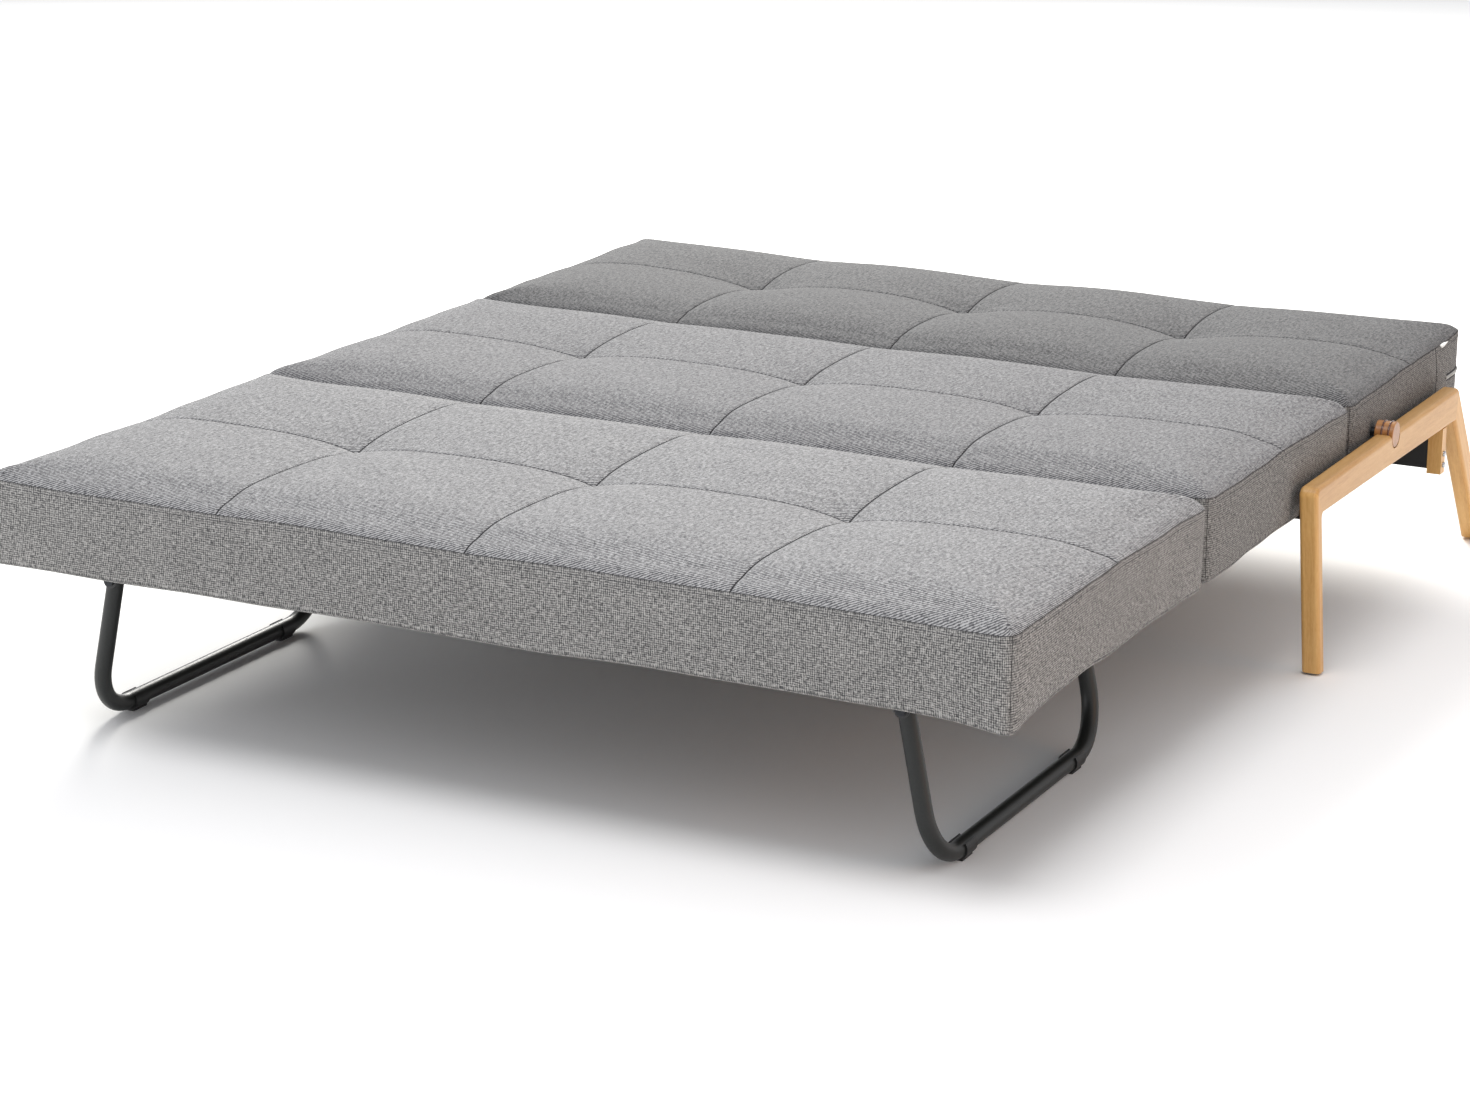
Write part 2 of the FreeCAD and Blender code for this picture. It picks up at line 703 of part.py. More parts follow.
def bracket_bolt(y, extra=0.0):
    """Bolt from below through an angle bracket into the seat's side tube; extra widens it for the holes."""
    low = tube_z - bracket_thickness
    shank = rod(bracket_bolt_r + extra, V(side_tube_x, y, low - bracket_bolt_head_height),
                V(side_tube_x, y, tube_z + bracket_bolt_reach))
    if extra > 0.0:
        return shank
    head = rod(bracket_bolt_head_r, V(side_tube_x, y, low - bracket_bolt_head_height), V(side_tube_x, y, low))
    return shank.fuse(head).removeSplitter()


def seat_bracket(y):
    """Angle bracket that carries the seat's side tube on the rail's inner face."""
    half = bracket_length / 2
    upright = block(rail_inner_x - bracket_thickness, rail_inner_x, y - half, y + half,
                    tube_z - bracket_thickness, tube_z + bracket_height)
    bracket = bracket_foot(y).fuse(upright).removeSplitter()
    for hole in bracket_screws(y, pin_clearance) + [bracket_bolt(y, pin_clearance)]:
        bracket = bracket.cut(hole)
    return bracket


def seat_brackets():
    write_pair("seat_brackets", *[seat_bracket(y) for y in bracket_stations])
    screws = []
    for y in bracket_stations:
        screws += bracket_screws(y)
    write_node("bracket_screws", *(screws + [mirrored(screw) for screw in screws]))
    bolts = [bracket_bolt(y) for y in bracket_stations]
    write_node("bracket_bolts", *(bolts + [mirrored(bolt) for bolt in bolts]))


# ---------------------------------------------------------------- rear crossbeam
def beam_bolts(extra=0.0):
    """Two domed bolts through the right-hand post into the beam's end; extra widens them for the holes."""
    outer_x = rail_outer_x - post_inset
    made = []
    for z in beam_bolt_heights:
        shank = rod(beam_bolt_r + extra, V(outer_x - beam_bolt_length, beam_y, z),
                    V(outer_x + overrun, beam_y, z))
        if extra == 0.0:
            head = rod(beam_bolt_head_r, V(outer_x, beam_y, z), V(outer_x + beam_bolt_head_height, beam_y, z))
            face_x = outer_x + beam_bolt_head_height
            rim = [edge for edge in head.Edges if edge.BoundBox.XMin > face_x - tiny]
            head = head.makeFillet(beam_bolt_dome_r, rim)
            shank = shank.fuse(head).removeSplitter()
        made.append(shank)
    return made


def crossbeam():
    """Closed steel beam under the back section's rear, bolted to a wooden post at each end."""
    outer_x = rail_outer_x - post_inset
    inner_x = outer_x - post_width
    y0 = beam_y - beam_thickness / 2
    y1 = beam_y + beam_thickness / 2
    top = underside_z - soft_gap
    beam = block(-inner_x, inner_x, y0, y1, beam_bottom, top)
    hollow_x = inner_x - beam_end_plate
    beam = beam.cut(block(-hollow_x, hollow_x, y0 + beam_wall, y1 - beam_wall,
                          beam_bottom + beam_wall, top - beam_wall))
    py0 = beam_y - post_depth / 2
    py1 = beam_y + post_depth / 2
    post = plate_yz([(py0, post_bottom), (py1, post_bottom), (py1, rail_underside_at(py1)),
                     (py0, rail_underside_at(py0))], inner_x, outer_x)
    for hole in beam_bolts(pin_clearance):
        post = post.cut(hole)
        beam = beam.cut(hole).cut(mirrored(hole))
    bolts = beam_bolts()
    write_node("rear_crossbeam", beam)
    write_pair("beam_post", post)
    write_node("beam_bolts", *(bolts + [mirrored(bolt) for bolt in bolts]))


# ---------------------------------------------------------------- build
os.makedirs("parts", exist_ok=True)
foot_section()
seat_section()
hinges()
sled_legs()
back_section()
back_pivot()
back_trim()
side_frames()
seat_brackets()
crossbeam()
print("origin is %.2f mm from the foot end" % origin_y)
print("sled pivot x %.2f z %.2f" % (sled_pivot_x, sled_pivot_z))
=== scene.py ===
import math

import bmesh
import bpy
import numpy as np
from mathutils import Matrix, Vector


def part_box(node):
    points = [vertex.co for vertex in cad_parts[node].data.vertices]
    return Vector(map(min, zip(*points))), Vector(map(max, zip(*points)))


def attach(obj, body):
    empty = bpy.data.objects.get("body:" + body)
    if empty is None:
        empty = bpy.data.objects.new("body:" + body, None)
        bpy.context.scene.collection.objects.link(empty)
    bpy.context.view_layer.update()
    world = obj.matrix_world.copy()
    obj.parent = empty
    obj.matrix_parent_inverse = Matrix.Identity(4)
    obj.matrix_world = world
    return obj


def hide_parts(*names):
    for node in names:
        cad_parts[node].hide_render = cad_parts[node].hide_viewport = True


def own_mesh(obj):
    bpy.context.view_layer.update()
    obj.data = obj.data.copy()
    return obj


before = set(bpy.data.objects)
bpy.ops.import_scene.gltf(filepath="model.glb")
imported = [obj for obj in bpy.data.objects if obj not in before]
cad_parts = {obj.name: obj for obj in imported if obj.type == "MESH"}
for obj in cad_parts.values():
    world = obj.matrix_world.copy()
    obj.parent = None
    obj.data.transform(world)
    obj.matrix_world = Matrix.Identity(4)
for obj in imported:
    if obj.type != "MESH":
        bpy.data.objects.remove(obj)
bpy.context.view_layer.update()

# %% [markdown]
# # A three-section futon sofa bed, opened flat
# The bed is three foam cushions in grey woven covers. The foot section folds under the seat section on steel
# sled legs, and the back section turns up on two wooden knobs that lie in the rails of raked beech side frames.
# The steel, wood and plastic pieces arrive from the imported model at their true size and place. This lesson
# dresses them in materials, and makes what a CAD solid leaves plain: covers, seams, stitches, cloth and trim.
# Lengths are in metres, +X is the sleeper's right, +Y runs from the foot end to the head end, and +Z is up.

mm = 0.001

# %% [markdown]
# ## Camera
# A bed is best seen from a standing adult's height, a few steps off one corner of its foot end. A long lens
# keeps the far cushion nearly as wide as the near one. The camera could be aimed by a constraint. Here it is
# turned by three plain angles, round, down, and a touch of roll, so that nothing else decides where it looks.

# %% Camera
camera_turn = math.radians(26.37)
camera_tilt = math.radians(15.93)
camera_roll = math.radians(0.61)
camera_place = (2.4755, -5.2136, 1.7589)
forward = Vector((-math.sin(camera_turn) * math.cos(camera_tilt),
                  math.cos(camera_turn) * math.cos(camera_tilt), -math.sin(camera_tilt)))
level = Vector((math.cos(camera_turn), math.sin(camera_turn), 0))
upright = level.cross(forward)
camera_x = math.cos(camera_roll) * level + math.sin(camera_roll) * upright
camera_y = math.cos(camera_roll) * upright - math.sin(camera_roll) * level
camera_data = bpy.data.cameras.new("camera")
camera_data.lens = 91.66
camera_data.sensor_width = 36
camera = bpy.data.objects.new("camera", camera_data)
camera.matrix_world = (Matrix.Translation(camera_place)
                       @ Matrix((camera_x, camera_y, -forward)).transposed().to_4x4())
bpy.context.scene.collection.objects.link(camera)
bpy.context.scene.camera = camera
print("camera at", [round(value, 2) for value in camera.location])

# %% [markdown]
# ## Small tools for materials
# Colours are written as sRGB hex values, as a paint chart gives them, and one function turns them to the linear
# numbers that shaders work with. One more function adds a node, sets it up and links it.

# %% Colour and node tools
def linear(hex_colour):
    """Linear RGBA of an sRGB colour such as #8a8a8c."""
    parts = [int(hex_colour[start:start + 2], 16) / 255 for start in (1, 3, 5)]
    return [part / 12.92 if part <= 0.04045 else ((part + 0.055) / 1.055) ** 2.4 for part in parts] + [1.0]


def add_node(tree, kind, inputs=None, **settings):
    """Add a node with its settings. An input is a value, or a socket to link from."""
    made = tree.nodes.new(kind)
    for name, value in settings.items():
        setattr(made, name, value)
    for socket, value in (inputs or {}).items():
        if isinstance(value, bpy.types.NodeSocket):
            tree.links.new(value, made.inputs[socket])
        else:
            made.inputs[socket].default_value = value
    return made


def start_material(name, **surface):
    """A new material with one Principled shader. Returns material, tree and shader."""
    material = bpy.data.materials.new(name)
    material.use_nodes = True
    tree = material.node_tree
    shader = tree.nodes["Principled BSDF"]
    for socket, value in surface.items():
        shader.inputs[socket.replace("_", " ")].default_value = value
    return material, tree, shader


def bands_scale(period):
    """Scale that makes a wave texture's bands repeat after a length in metres."""
    return 2 * math.pi / 20 / period


def dress(material, *nodes):
    """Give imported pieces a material, in the slots they already have."""
    for name in nodes:
        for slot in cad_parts[name].material_slots:
            slot.material = material
    print(material.name, "on", len(nodes), "piece(s)")


# %% [markdown]
# ## Floor and light
# A photo studio for furniture has a pale seamless floor and large soft lamps, so bright that the floor comes
# out white. The main lamp hangs high behind the left rear corner, so every slope that faces us falls into soft
# shade. A second one above the foot end lifts the near cushion. A cool lamp fills the long front face, and a
# warmer one on the right fills the side. The plain display transform keeps a cloth's shade as it is measured.

# %% Floor and lamps
def add_mesh(name, points, faces, *materials):
    """A smooth mesh object of points and faces, linked to the scene."""
    mesh = bpy.data.meshes.new(name)
    mesh.from_pydata(points, [], faces)
    for material in materials:
        mesh.materials.append(material)
    mesh.shade_smooth()
    made = bpy.data.objects.new(name, mesh)
    bpy.context.scene.collection.objects.link(made)
    return made


floor_material, tree, shader = start_material("pale_studio_floor", Roughness=0.9)
shader.inputs["Base Color"].default_value = linear("#fbfbfa")
half_floor = 30
four_corners = ((-1, -1), (1, -1), (1, 1), (-1, 1))
floor = add_mesh("floor", [(x * half_floor, y * half_floor, 0) for x, y in four_corners], [(0, 1, 2, 3)],
                 floor_material)

world = bpy.data.worlds.new("soft_room_light")
world.use_nodes = True
room = world.node_tree.nodes["Background"].inputs
room["Color"].default_value = linear("#f6f7fa")
room["Strength"].default_value = 0.82
bpy.context.scene.world = world
bpy.context.scene.view_settings.view_transform = "Standard"


def hang_lamp(name, place, target, size, power, hex_colour):
    """A square soft box that looks at a point."""
    lamp = bpy.data.lights.new(name, "AREA")
    lamp.size = size
    lamp.energy = power
    lamp.color = linear(hex_colour)[:3]
    holder = bpy.data.objects.new(name, lamp)
    aim = (Vector(target) - Vector(place)).to_track_quat("-Z", "Y")
    holder.matrix_world = Matrix.Translation(place) @ aim.to_matrix().to_4x4()
    bpy.context.scene.collection.objects.link(holder)
    print("lamp", name, "at", place)


hang_lamp("main_lamp", (-2.9, 4.9, 3.7), (0, 0, 0.3), 2.2, 590, "#fffdf8")
hang_lamp("foot_lamp", (0.7, -1.5, 3.3), (0.4, -0.6, 0.3), 1.6, 50, "#fdfdff")
hang_lamp("front_lamp", (-3.4, -4.6, 0.9), (-0.5, -1, 0.3), 1.8, 44, "#f8f9ff")
hang_lamp("side_lamp", (5.5, -0.4, 1.4), (0.8, 0.2, 0.2), 2.5, 32, "#ffb060")

# %% [markdown]
# ## Upholstery cloth
# The covers are a polyester melange: pale and dark grey fibres spun together, so each thread has its own shade.
# The tops are woven as a fine twill, whose diagonal ribs show as soft slanting lines. The sides use the same
# yarn in a basket weave, with threads that cross upright and level. A cover without pattern reads as plastic,
# so both cloths get ribs, uneven threads and a little fuzz. A UV map called cloth measures metres along each
# panel, over the shoulders too, and the patterns are scaled from thread sizes with it. The real rib is about
# 2 mm wide and the basket's threads 1.6 mm apart. Both are drawn twice as coarse, because finer ones vanish at
# a distance of four metres. Each yarn pattern is turned first and then drawn out along its thread. Slubs of
# 4 to 16 mm, where the yarn was spun thicker, keep the cloth from looking printed.

# %% Woven grey cloth
twill_rib = 4.4 * mm
basket_thread = 3.2 * mm
weave_depth = 0.7 * mm
twill_turn = math.radians(52)
twill_ribs = ((twill_rib, twill_turn, 0.46),)
twill_yarns = ((1.7 * mm, 5 * mm, twill_turn, 0.8), (2.0 * mm, 4 * mm, twill_turn - math.pi / 2, 0.6),
               (4.4 * mm, 4.4 * mm, 0.0, 0.6), (9 * mm, 7 * mm, 0.3, 0.3), (4.5 * mm, 16 * mm, 0.0, 0.6),
               (60 * mm, 60 * mm, 0.0, 0.12))
basket_ribs = ((basket_thread, 0.0, 0.24), (basket_thread, math.pi / 2, 0.24))
basket_yarns = ((1.7 * mm, 8 * mm, 0.0, 0.95), (1.7 * mm, 8 * mm, math.pi / 2, 0.95),
                (2.4 * mm, 2.4 * mm, 0.0, 0.6), (8 * mm, 8 * mm, 0.3, 0.15), (60 * mm, 60 * mm, 0.0, 0.12))


def tint_and_relief(tree, shader, height, stops, strength, depth):
    """Colour and raise a surface by one pattern. Stops are (position, hex), with the two outer ones first."""
    ramp = add_node(tree, "ShaderNodeValToRGB", {"Fac": height})
    for number, (position, hex_colour) in enumerate(stops):
        stop = ramp.color_ramp.elements[number] if number < 2 else ramp.color_ramp.elements.new(position)
        stop.position = position
        stop.color = linear(hex_colour)
    bump = add_node(tree, "ShaderNodeBump", {"Height": height, "Strength": strength, "Distance": depth})
    tree.links.new(ramp.outputs["Color"], shader.inputs["Base Color"])
    tree.links.new(bump.outputs["Normal"], shader.inputs["Normal"])


def woven_cloth(name, shades, ribs, yarns, relief):
    """Grey melange cloth. Each rib is (width, turn, share), and each yarn (width, length, turn, share)."""
    material, tree, shader = start_material(name, Roughness=0.92, Sheen_Weight=0.04, Sheen_Roughness=0.5,
                                            Specular_IOR_Level=0.15)
    place = add_node(tree, "ShaderNodeUVMap", uv_map="cloth").outputs["UV"]
    weave = 0.5 - 0.5 * sum(rib[-1] for rib in ribs) - 0.5 * sum(yarn[-1] for yarn in yarns)
    for width, *length, turn, share in (*ribs, *yarns):
        lie = add_node(tree, "ShaderNodeMapping", {"Vector": place, "Rotation": (0, 0, turn)}).outputs["Vector"]
        if length:
            drawn = add_node(tree, "ShaderNodeMapping", {"Vector": lie, "Scale": (1 / width, 1 / length[0], 1)})
            pattern = add_node(tree, "ShaderNodeTexNoise", {"Vector": drawn.outputs["Vector"], "Scale": 1.0,
                                                            "Detail": 2.0, "Roughness": 0.6})
        else:
            pattern = add_node(tree, "ShaderNodeTexWave", {"Vector": lie, "Scale": bands_scale(width),
                                                           "Distortion": 1.5, "Detail": 2.0, "Detail Scale": 1.2})
        weave = add_node(tree, "ShaderNodeMath", {0: pattern.outputs["Fac"], 1: share, 2: weave},
                         operation="MULTIPLY_ADD").outputs["Value"]
    tint_and_relief(tree, shader, weave, ((0.26, shades[0]), (0.74, shades[2]), (0.5, shades[1])), relief,
                    weave_depth)
    print("cloth", name)
    return material


# %% [markdown]
# ## Three covers, three shades
# The covers are cut from one roll of one colour. Each section's cloth is darkened by its own amount, as painted
# shade for light that falls off from the foot end towards the head end: the seat is a touch darker than the foot
# section, and the back is darker again. A hex colour is darkened in linear light.

# %% Cloths of each section
def shaded(hex_colour, share):
    """A darker shade of an sRGB colour, as hex."""
    parts = [part * share for part in linear(hex_colour)[:3]]
    codes = [12.92 * part if part <= 0.0031308 else 1.055 * part ** (1 / 2.4) - 0.055 for part in parts]
    return "#" + "".join("%02x" % round(code * 255) for code in codes)


cloths = {}
# Painted shade: each section's top, band and seam colours are darkened by its own share, darker towards the head
# end.
for section, top_painted_shade, side_painted_shade in (("foot", 0.84, 0.83), ("seat", 0.70, 0.70), ("back", 0.46, 0.60)):
    twill = [shaded(colour, top_painted_shade) for colour in ("#505053", "#878789", "#b9b9b9")]
    basket = [shaded(colour, side_painted_shade) for colour in ("#4b4b4c", "#868583", "#bab8b5")]
    # Colours of the seam fold cloth: painted shade for the folds along the seams and edges.
    fold = [shaded(colour, side_painted_shade) for colour in ("#2c2c2e", "#39393b", "#464648")]
    cloths[section] = (woven_cloth("grey_melange_twill_painted_shade_" + section, twill, twill_ribs, twill_yarns, 0.4),
                       woven_cloth("grey_melange_basket_painted_shade_" + section, basket, basket_ribs, basket_yarns, 0.5),
                       woven_cloth("seam_fold_shadow_" + section, fold, basket_ribs, basket_yarns, 0.5))

# %% [markdown]
# ## Sizes of the sewing
# Each cover is a top panel, a side band called the boxing, and a base cloth. One seam runs across the middle of
# the top and three run lengthwise, which makes eight squares. Where they cross, a cord through the foam pulls
# the cloth down into a tuft. Each seam is a narrow pinch in a shallow valley, and the foam dips in a much wider
# trough round it. The top panel curves over a soft shoulder to the edge seam, and a row of stitches on the band
# holds that seam flat. Foam pushes every square up into a low pillow between the seams.

# %% Sewing sizes
seam_columns = (-400 * mm, 0.0, 400 * mm)
seam_half_width = 1.4 * mm
seam_pinch = 2.2 * mm
seam_pinch_width = 2.2 * mm
pinch_begins = 4 * mm
seam_valley = 1.2 * mm
seam_valley_width = 20 * mm
seam_dip_width = 85 * mm
side_seam_pinch = 1.6 * mm
edge_pinch = 1.0 * mm
tuft_width = 58 * mm
sinking_begins = 61 * mm
shoulder_width = 52 * mm
shoulder_height = 19 * mm
shoulder_bend = 2.5
corner_radius = 20 * mm
base_radius = 9 * mm
topstitch_drop = 8 * mm
skirt = 40 * mm
crown_room = 2 * mm
touching = 1e-6
on_outline = 1e-5
not_zero = 1e-9               # keeps a division from meeting zero
corner_line = 0.2 * mm
tuft_oval = 0.9
print("eight squares of 400 mm, edge stitched", round(topstitch_drop / mm), "mm below its seam")

# %% [markdown]
# ## The cushion's skin as a lattice
# A cushion could be sculpted, or remeshed to even voxels. Seams need narrow rows of faces exactly along their
# lines, so here the skin is a box lattice instead: lines about a centimetre apart, closer at each seam and
# edge. The same recipe with wide spacing gives the light mesh that the cloth simulation inflates, and the
# result is read back onto the fine skin by its place on the panel.

# %% Lattice tools
def corners_of(node):
    """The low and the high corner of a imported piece."""
    return [np.array(corner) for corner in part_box(node)]


def lattice_lines(low, high, step, marks, offsets):
    """Lines from low to high about step apart, with close lines beside each mark."""
    close = sorted({round(mark + side * offset, 6) for mark in marks for offset in offsets for side in (-1, 1)
                    if low - touching <= mark + side * offset <= high + touching}
                   | {round(low, 6), round(high, 6)})
    lines = [close[0]]
    for line in close[1:]:
        gap = line - lines[-1]
        parts = max(1, round(gap / step))
        lines += [lines[-1] + gap * part / parts for part in range(1, parts)] + [line]
    return np.array(lines)


def lattice_skin(xs, ys, zs):
    """Points of a box lattice's skin, and for each side its index grid, its two axes and whether it is flipped."""
    shape = (len(xs), len(ys), len(zs))
    on_skin = np.zeros(shape, bool)
    on_skin[[0, -1]] = True
    on_skin[:, [0, -1]] = True
    on_skin[:, :, [0, -1]] = True
    index = np.full(shape, -1)
    index[on_skin] = np.arange(on_skin.sum())
    place = np.argwhere(on_skin)
    points = np.stack([xs[place[:, 0]], ys[place[:, 1]], zs[place[:, 2]]], 1)
    sides = {"base": (index[:, :, 0], (0, 1), True), "top": (index[:, :, -1], (0, 1), False),
             "foot": (index[:, 0, :], (0, 2), False), "head": (index[:, -1, :], (0, 2), True),
             "left": (index[0], (1, 2), True), "right": (index[-1], (1, 2), False)}
    return points, sides


def side_faces(grid, flipped):
    """Four-cornered faces of one side."""
    a, b, c, d = grid[:-1, :-1], grid[1:, :-1], grid[1:, 1:], grid[:-1, 1:]
    corners = (a, d, c, b) if flipped else (a, b, c, d)
    return np.stack([corner.ravel() for corner in corners], 1)


def skin_faces(sides):
    """Faces of all six sides."""
    return np.concatenate([side_faces(grid, flipped) for grid, _, flipped in sides.values()])


def refine(lines, values, fine_lines):
    """Read values given on lines, along the first axis, at finer lines, without kinks."""
    slopes = np.gradient(values, lines, axis=0)
    i = np.clip(np.searchsorted(lines, fine_lines, side="right") - 1, 0, len(lines) - 2)
    span = lines[i + 1] - lines[i]
    t = ((fine_lines - lines[i]) / span)[:, None, None]
    span = span[:, None, None]
    return ((2 * t ** 3 - 3 * t ** 2 + 1) * values[i] + (t ** 3 - 2 * t ** 2 + t) * span * slopes[i]
            + (3 * t ** 2 - 2 * t ** 3) * values[i + 1] + (t ** 3 - t ** 2) * span * slopes[i + 1])


def refine_grid(lines, values, fine_lines):
    """Read a grid of values at finer lines both ways."""
    along = refine(lines[0], values, fine_lines[0])
    return refine(lines[1], along.transpose(1, 0, 2), fine_lines[1]).transpose(1, 0, 2)


# %% [markdown]
# ## From box to cushion
# A function bends the lattice into the sewn shape: upright corners turn round, the top panel rises over its
# shoulder from the edge seam, valleys run along the seams, and the tufts sink. The sides pull in a little
# between the corners, and hand-sewn edges wander by a millimetre or two, which keeps them from looking milled.
# Some corners hang lower than others. At each end the band's foot is tucked in under the cushion, and where two
# sections meet its top edge nods away from its neighbour. Underneath, a skirt of cloth runs round the steel
# frame and the middle is open for it.

# %% The sewn shape
edge_wander, edge_corner_reach = 1.6 * mm, 110 * mm
hem_wander, hem_corner_reach = 2.2 * mm, 70 * mm
edge_reach, tuck_reach = 40 * mm, 30 * mm
waist_pull = 3 * mm


def along_edge(points, half, radius, centre):
    """Distance in from the outline, seen from above."""
    beyond = np.abs(points[:, :2] - centre) - (half - radius)
    outside = np.hypot(*np.maximum(beyond, 0).T)
    return radius - outside - np.minimum(beyond.max(1), 0)


def round_corners(points, half, radius, centre):
    """Move points near the four upright corners onto round ones."""
    offset = points[:, :2] - centre
    beyond = np.abs(offset) - (half - radius)
    at_corner = (beyond > 0).all(1)
    inside = np.maximum(beyond, not_zero)
    share = inside.max(1) / np.hypot(*inside.T)
    turned = (half - radius + inside * share[:, None]) * np.sign(offset) + centre
    points[at_corner, :2] = turned[at_corner]


def falloff(distance, width, power=1.2):
    """1 at the middle of a seam or tuft, fading over a width."""
    return np.exp(-(np.abs(distance) / width) ** power)


def wander(along, size, seed):
    """A slow uneven line, as hand work leaves."""
    rng = np.random.default_rng(seed)
    total = np.zeros_like(along)
    for wave in (0.61, 0.37, 0.23):
        total += wave * np.sin(2 * math.pi * along / wave + rng.uniform(0, 2 * math.pi))
    return size * total


def smooth(value):
    """From 0 to 1 without a corner at either end."""
    value = np.clip(value, 0, 1)
    return value * value * (3 - 2 * value)


def shoulder_rise(share):
    """Height of the shoulder, from 0 at the edge seam to 1 where the panel turns level."""
    return 1 - (1 - np.clip(share, 0, 1)) ** shoulder_bend


def at_corners(x, y, low, high, lifts, reach):
    """Moves given for the four corners, fading over a reach: front left, front right, rear left, rear right."""
    places = ((low[0], low[1]), (high[0], low[1]), (low[0], high[1]), (high[0], high[1]))
    return sum(lift * np.exp(-(np.hypot(x - place[0], y - place[1]) / reach) ** 1.5)
               for lift, place in zip(lifts, places))


def sewn_shape(lattice, plan, finely):
    """Bend a lattice's points into the cushion. finely adds the pinch of each seam."""
    points = lattice.copy()
    low, high, tuft_y = plan["low"], plan["high"], plan["tuft_y"]
    centre = (low[:2] + high[:2]) / 2
    half = (high[:2] - low[:2]) / 2
    seam_z = high[2]
    on_top = lattice[:, 2] > seam_z - touching
    on_base = lattice[:, 2] < low[2] + touching
    round_corners(points, half, corner_radius, centre)
    inward = np.clip(along_edge(points, half, corner_radius, centre), 0, None)
    rise = shoulder_rise(inward / shoulder_width)
    inner = np.clip(inward / sinking_begins, 0, 1)
    x, y = points[:, 0].copy(), points[:, 1].copy()
    sink = np.zeros(len(points))
    for beside in (*(x - column for column in seam_columns), y - tuft_y):
        sink = np.maximum(sink, seam_valley * falloff(beside, seam_valley_width)
                          + plan["dip"] * falloff(beside, seam_dip_width, power=1.6))
    for column in seam_columns:
        sink += plan["tuft"] * falloff(np.hypot(x - column, (y - tuft_y) * tuft_oval), tuft_width, power=1.05)
    top_z = seam_z + shoulder_height * rise - sink * inner
    points[on_top, 2] = top_z[on_top]
    base_rise = np.sqrt(1 - (1 - np.clip(inward / base_radius, 0, 1)) ** 2)
    points[on_base, 2] = (low[2] - base_radius * base_rise)[on_base]
    height = np.clip((lattice[:, 2] - low[2]) / (seam_z - low[2]), 0, 1)
    near = np.exp(-inward / edge_reach)
    edge_lift = (wander(x + 2 * y, edge_wander, plan["seed"])
                 + at_corners(x, y, low, high, plan["seam_lift"], edge_corner_reach))
    hem_lift = (wander(x - 2 * y, hem_wander, plan["seed"] + 1)
                + at_corners(x, y, low, high, plan["base_lift"], hem_corner_reach))
    points[:, 2] += (edge_lift * height + hem_lift * (1 - height)) * near
    pull = waist_pull * np.cos(np.clip((y - centre[1]) / half[1], -1, 1) * math.pi / 2)
    points[:, 0] -= np.sign(x) * pull * (np.abs(x) / half[0]) ** 6
    for edge, tuck, nod in zip((low[1], high[1]), plan["tuck"], plan["nod"]):
        lean = (tuck * (1 - height) ** 2 + nod * height ** 3) * np.exp(-(inward + np.abs(y - edge)) / tuck_reach)
        points[:, 1] += np.sign(centre[1] - edge) * lean
    if finely:
        ramp = np.clip(inward / pinch_begins, 0, 1)
        pinch = falloff(y - tuft_y, seam_pinch_width)
        for column in seam_columns:
            pinch = np.maximum(pinch, falloff(x - column, seam_pinch_width))
        points[on_top, 2] -= (seam_pinch * pinch * ramp)[on_top]
        beside = np.abs(lattice[:, :2] - centre)
        rim = (np.abs(lattice[:, 2] - seam_z) < touching) & (inward < on_outline)
        upright = (half - beside < corner_line).all(1)
        outward = (points[:, :2] - centre) / half
        outward /= np.maximum(np.linalg.norm(outward, axis=1, keepdims=True), not_zero)
        for sewn in (rim, upright):
            points[sewn, :2] -= edge_pinch * outward[sewn]
        for seam in plan["side_seams"]:
            sewn = (beside[:, 0] > half[0] - touching) & (height < 1)
            points[sewn, 0] -= (np.sign(x) * side_seam_pinch * falloff(y - seam, seam_pinch_width))[sewn]
    return points


def open_underside(points, lattice, plan):
    """Lift the middle of the base into a pocket round the steel frame."""
    low, high = plan["pocket"]
    inside = ((lattice[:, :2] > low[:2]) & (lattice[:, :2] < high[:2])).all(1)
    points[inside & (lattice[:, 2] < plan["low"][2] + touching), 2] = high[2]


# %% [markdown]
# ## Inflating the cover
# The foam presses on the cloth evenly from inside, and the cloth is held at its seams. That is just what a
# cloth simulation with pressure does, so a light copy of the skin is blown up for twenty frames with gravity
# off. The base is held fast, the edge and the tufts nearly so, and the rest is free, so the top rises in one
# soft sheet and dips only at its tufts. Its movement is capped, because a real cover stops where the foam
# ends: the back is the softest, so it may swell the most. No Cloth modifier stays: only the moved points are
# read back.

# %% Cloth simulation
light_step = 16 * mm
light_edges = (6 * mm, 18 * mm)
cloth_frames = 20
tuft_button, tuft_hold = 14 * mm, 0.95
edge_hold = 0.85
held_foot = 12 * mm


def from_sides(points, plan):
    """Distance in from the nearer side, across and along the cushion."""
    return np.minimum(points - plan["low"], plan["high"] - points)[:, :2]


def holding(lattice, plan):
    """How firmly each point is held, from 0 to 1."""
    on_top = lattice[:, 2] > plan["high"][2] - touching
    hold = np.zeros(len(lattice))
    for column in seam_columns:
        apart = np.hypot(lattice[:, 0] - column, lattice[:, 1] - plan["tuft_y"])
        hold = np.maximum(hold, tuft_hold * (apart < tuft_button))
    hold[~on_top] = 0
    hold[lattice[:, 2] < plan["low"][2] + held_foot] = 1
    hold[on_top & (from_sides(lattice, plan).min(1) < touching)] = edge_hold
    return hold


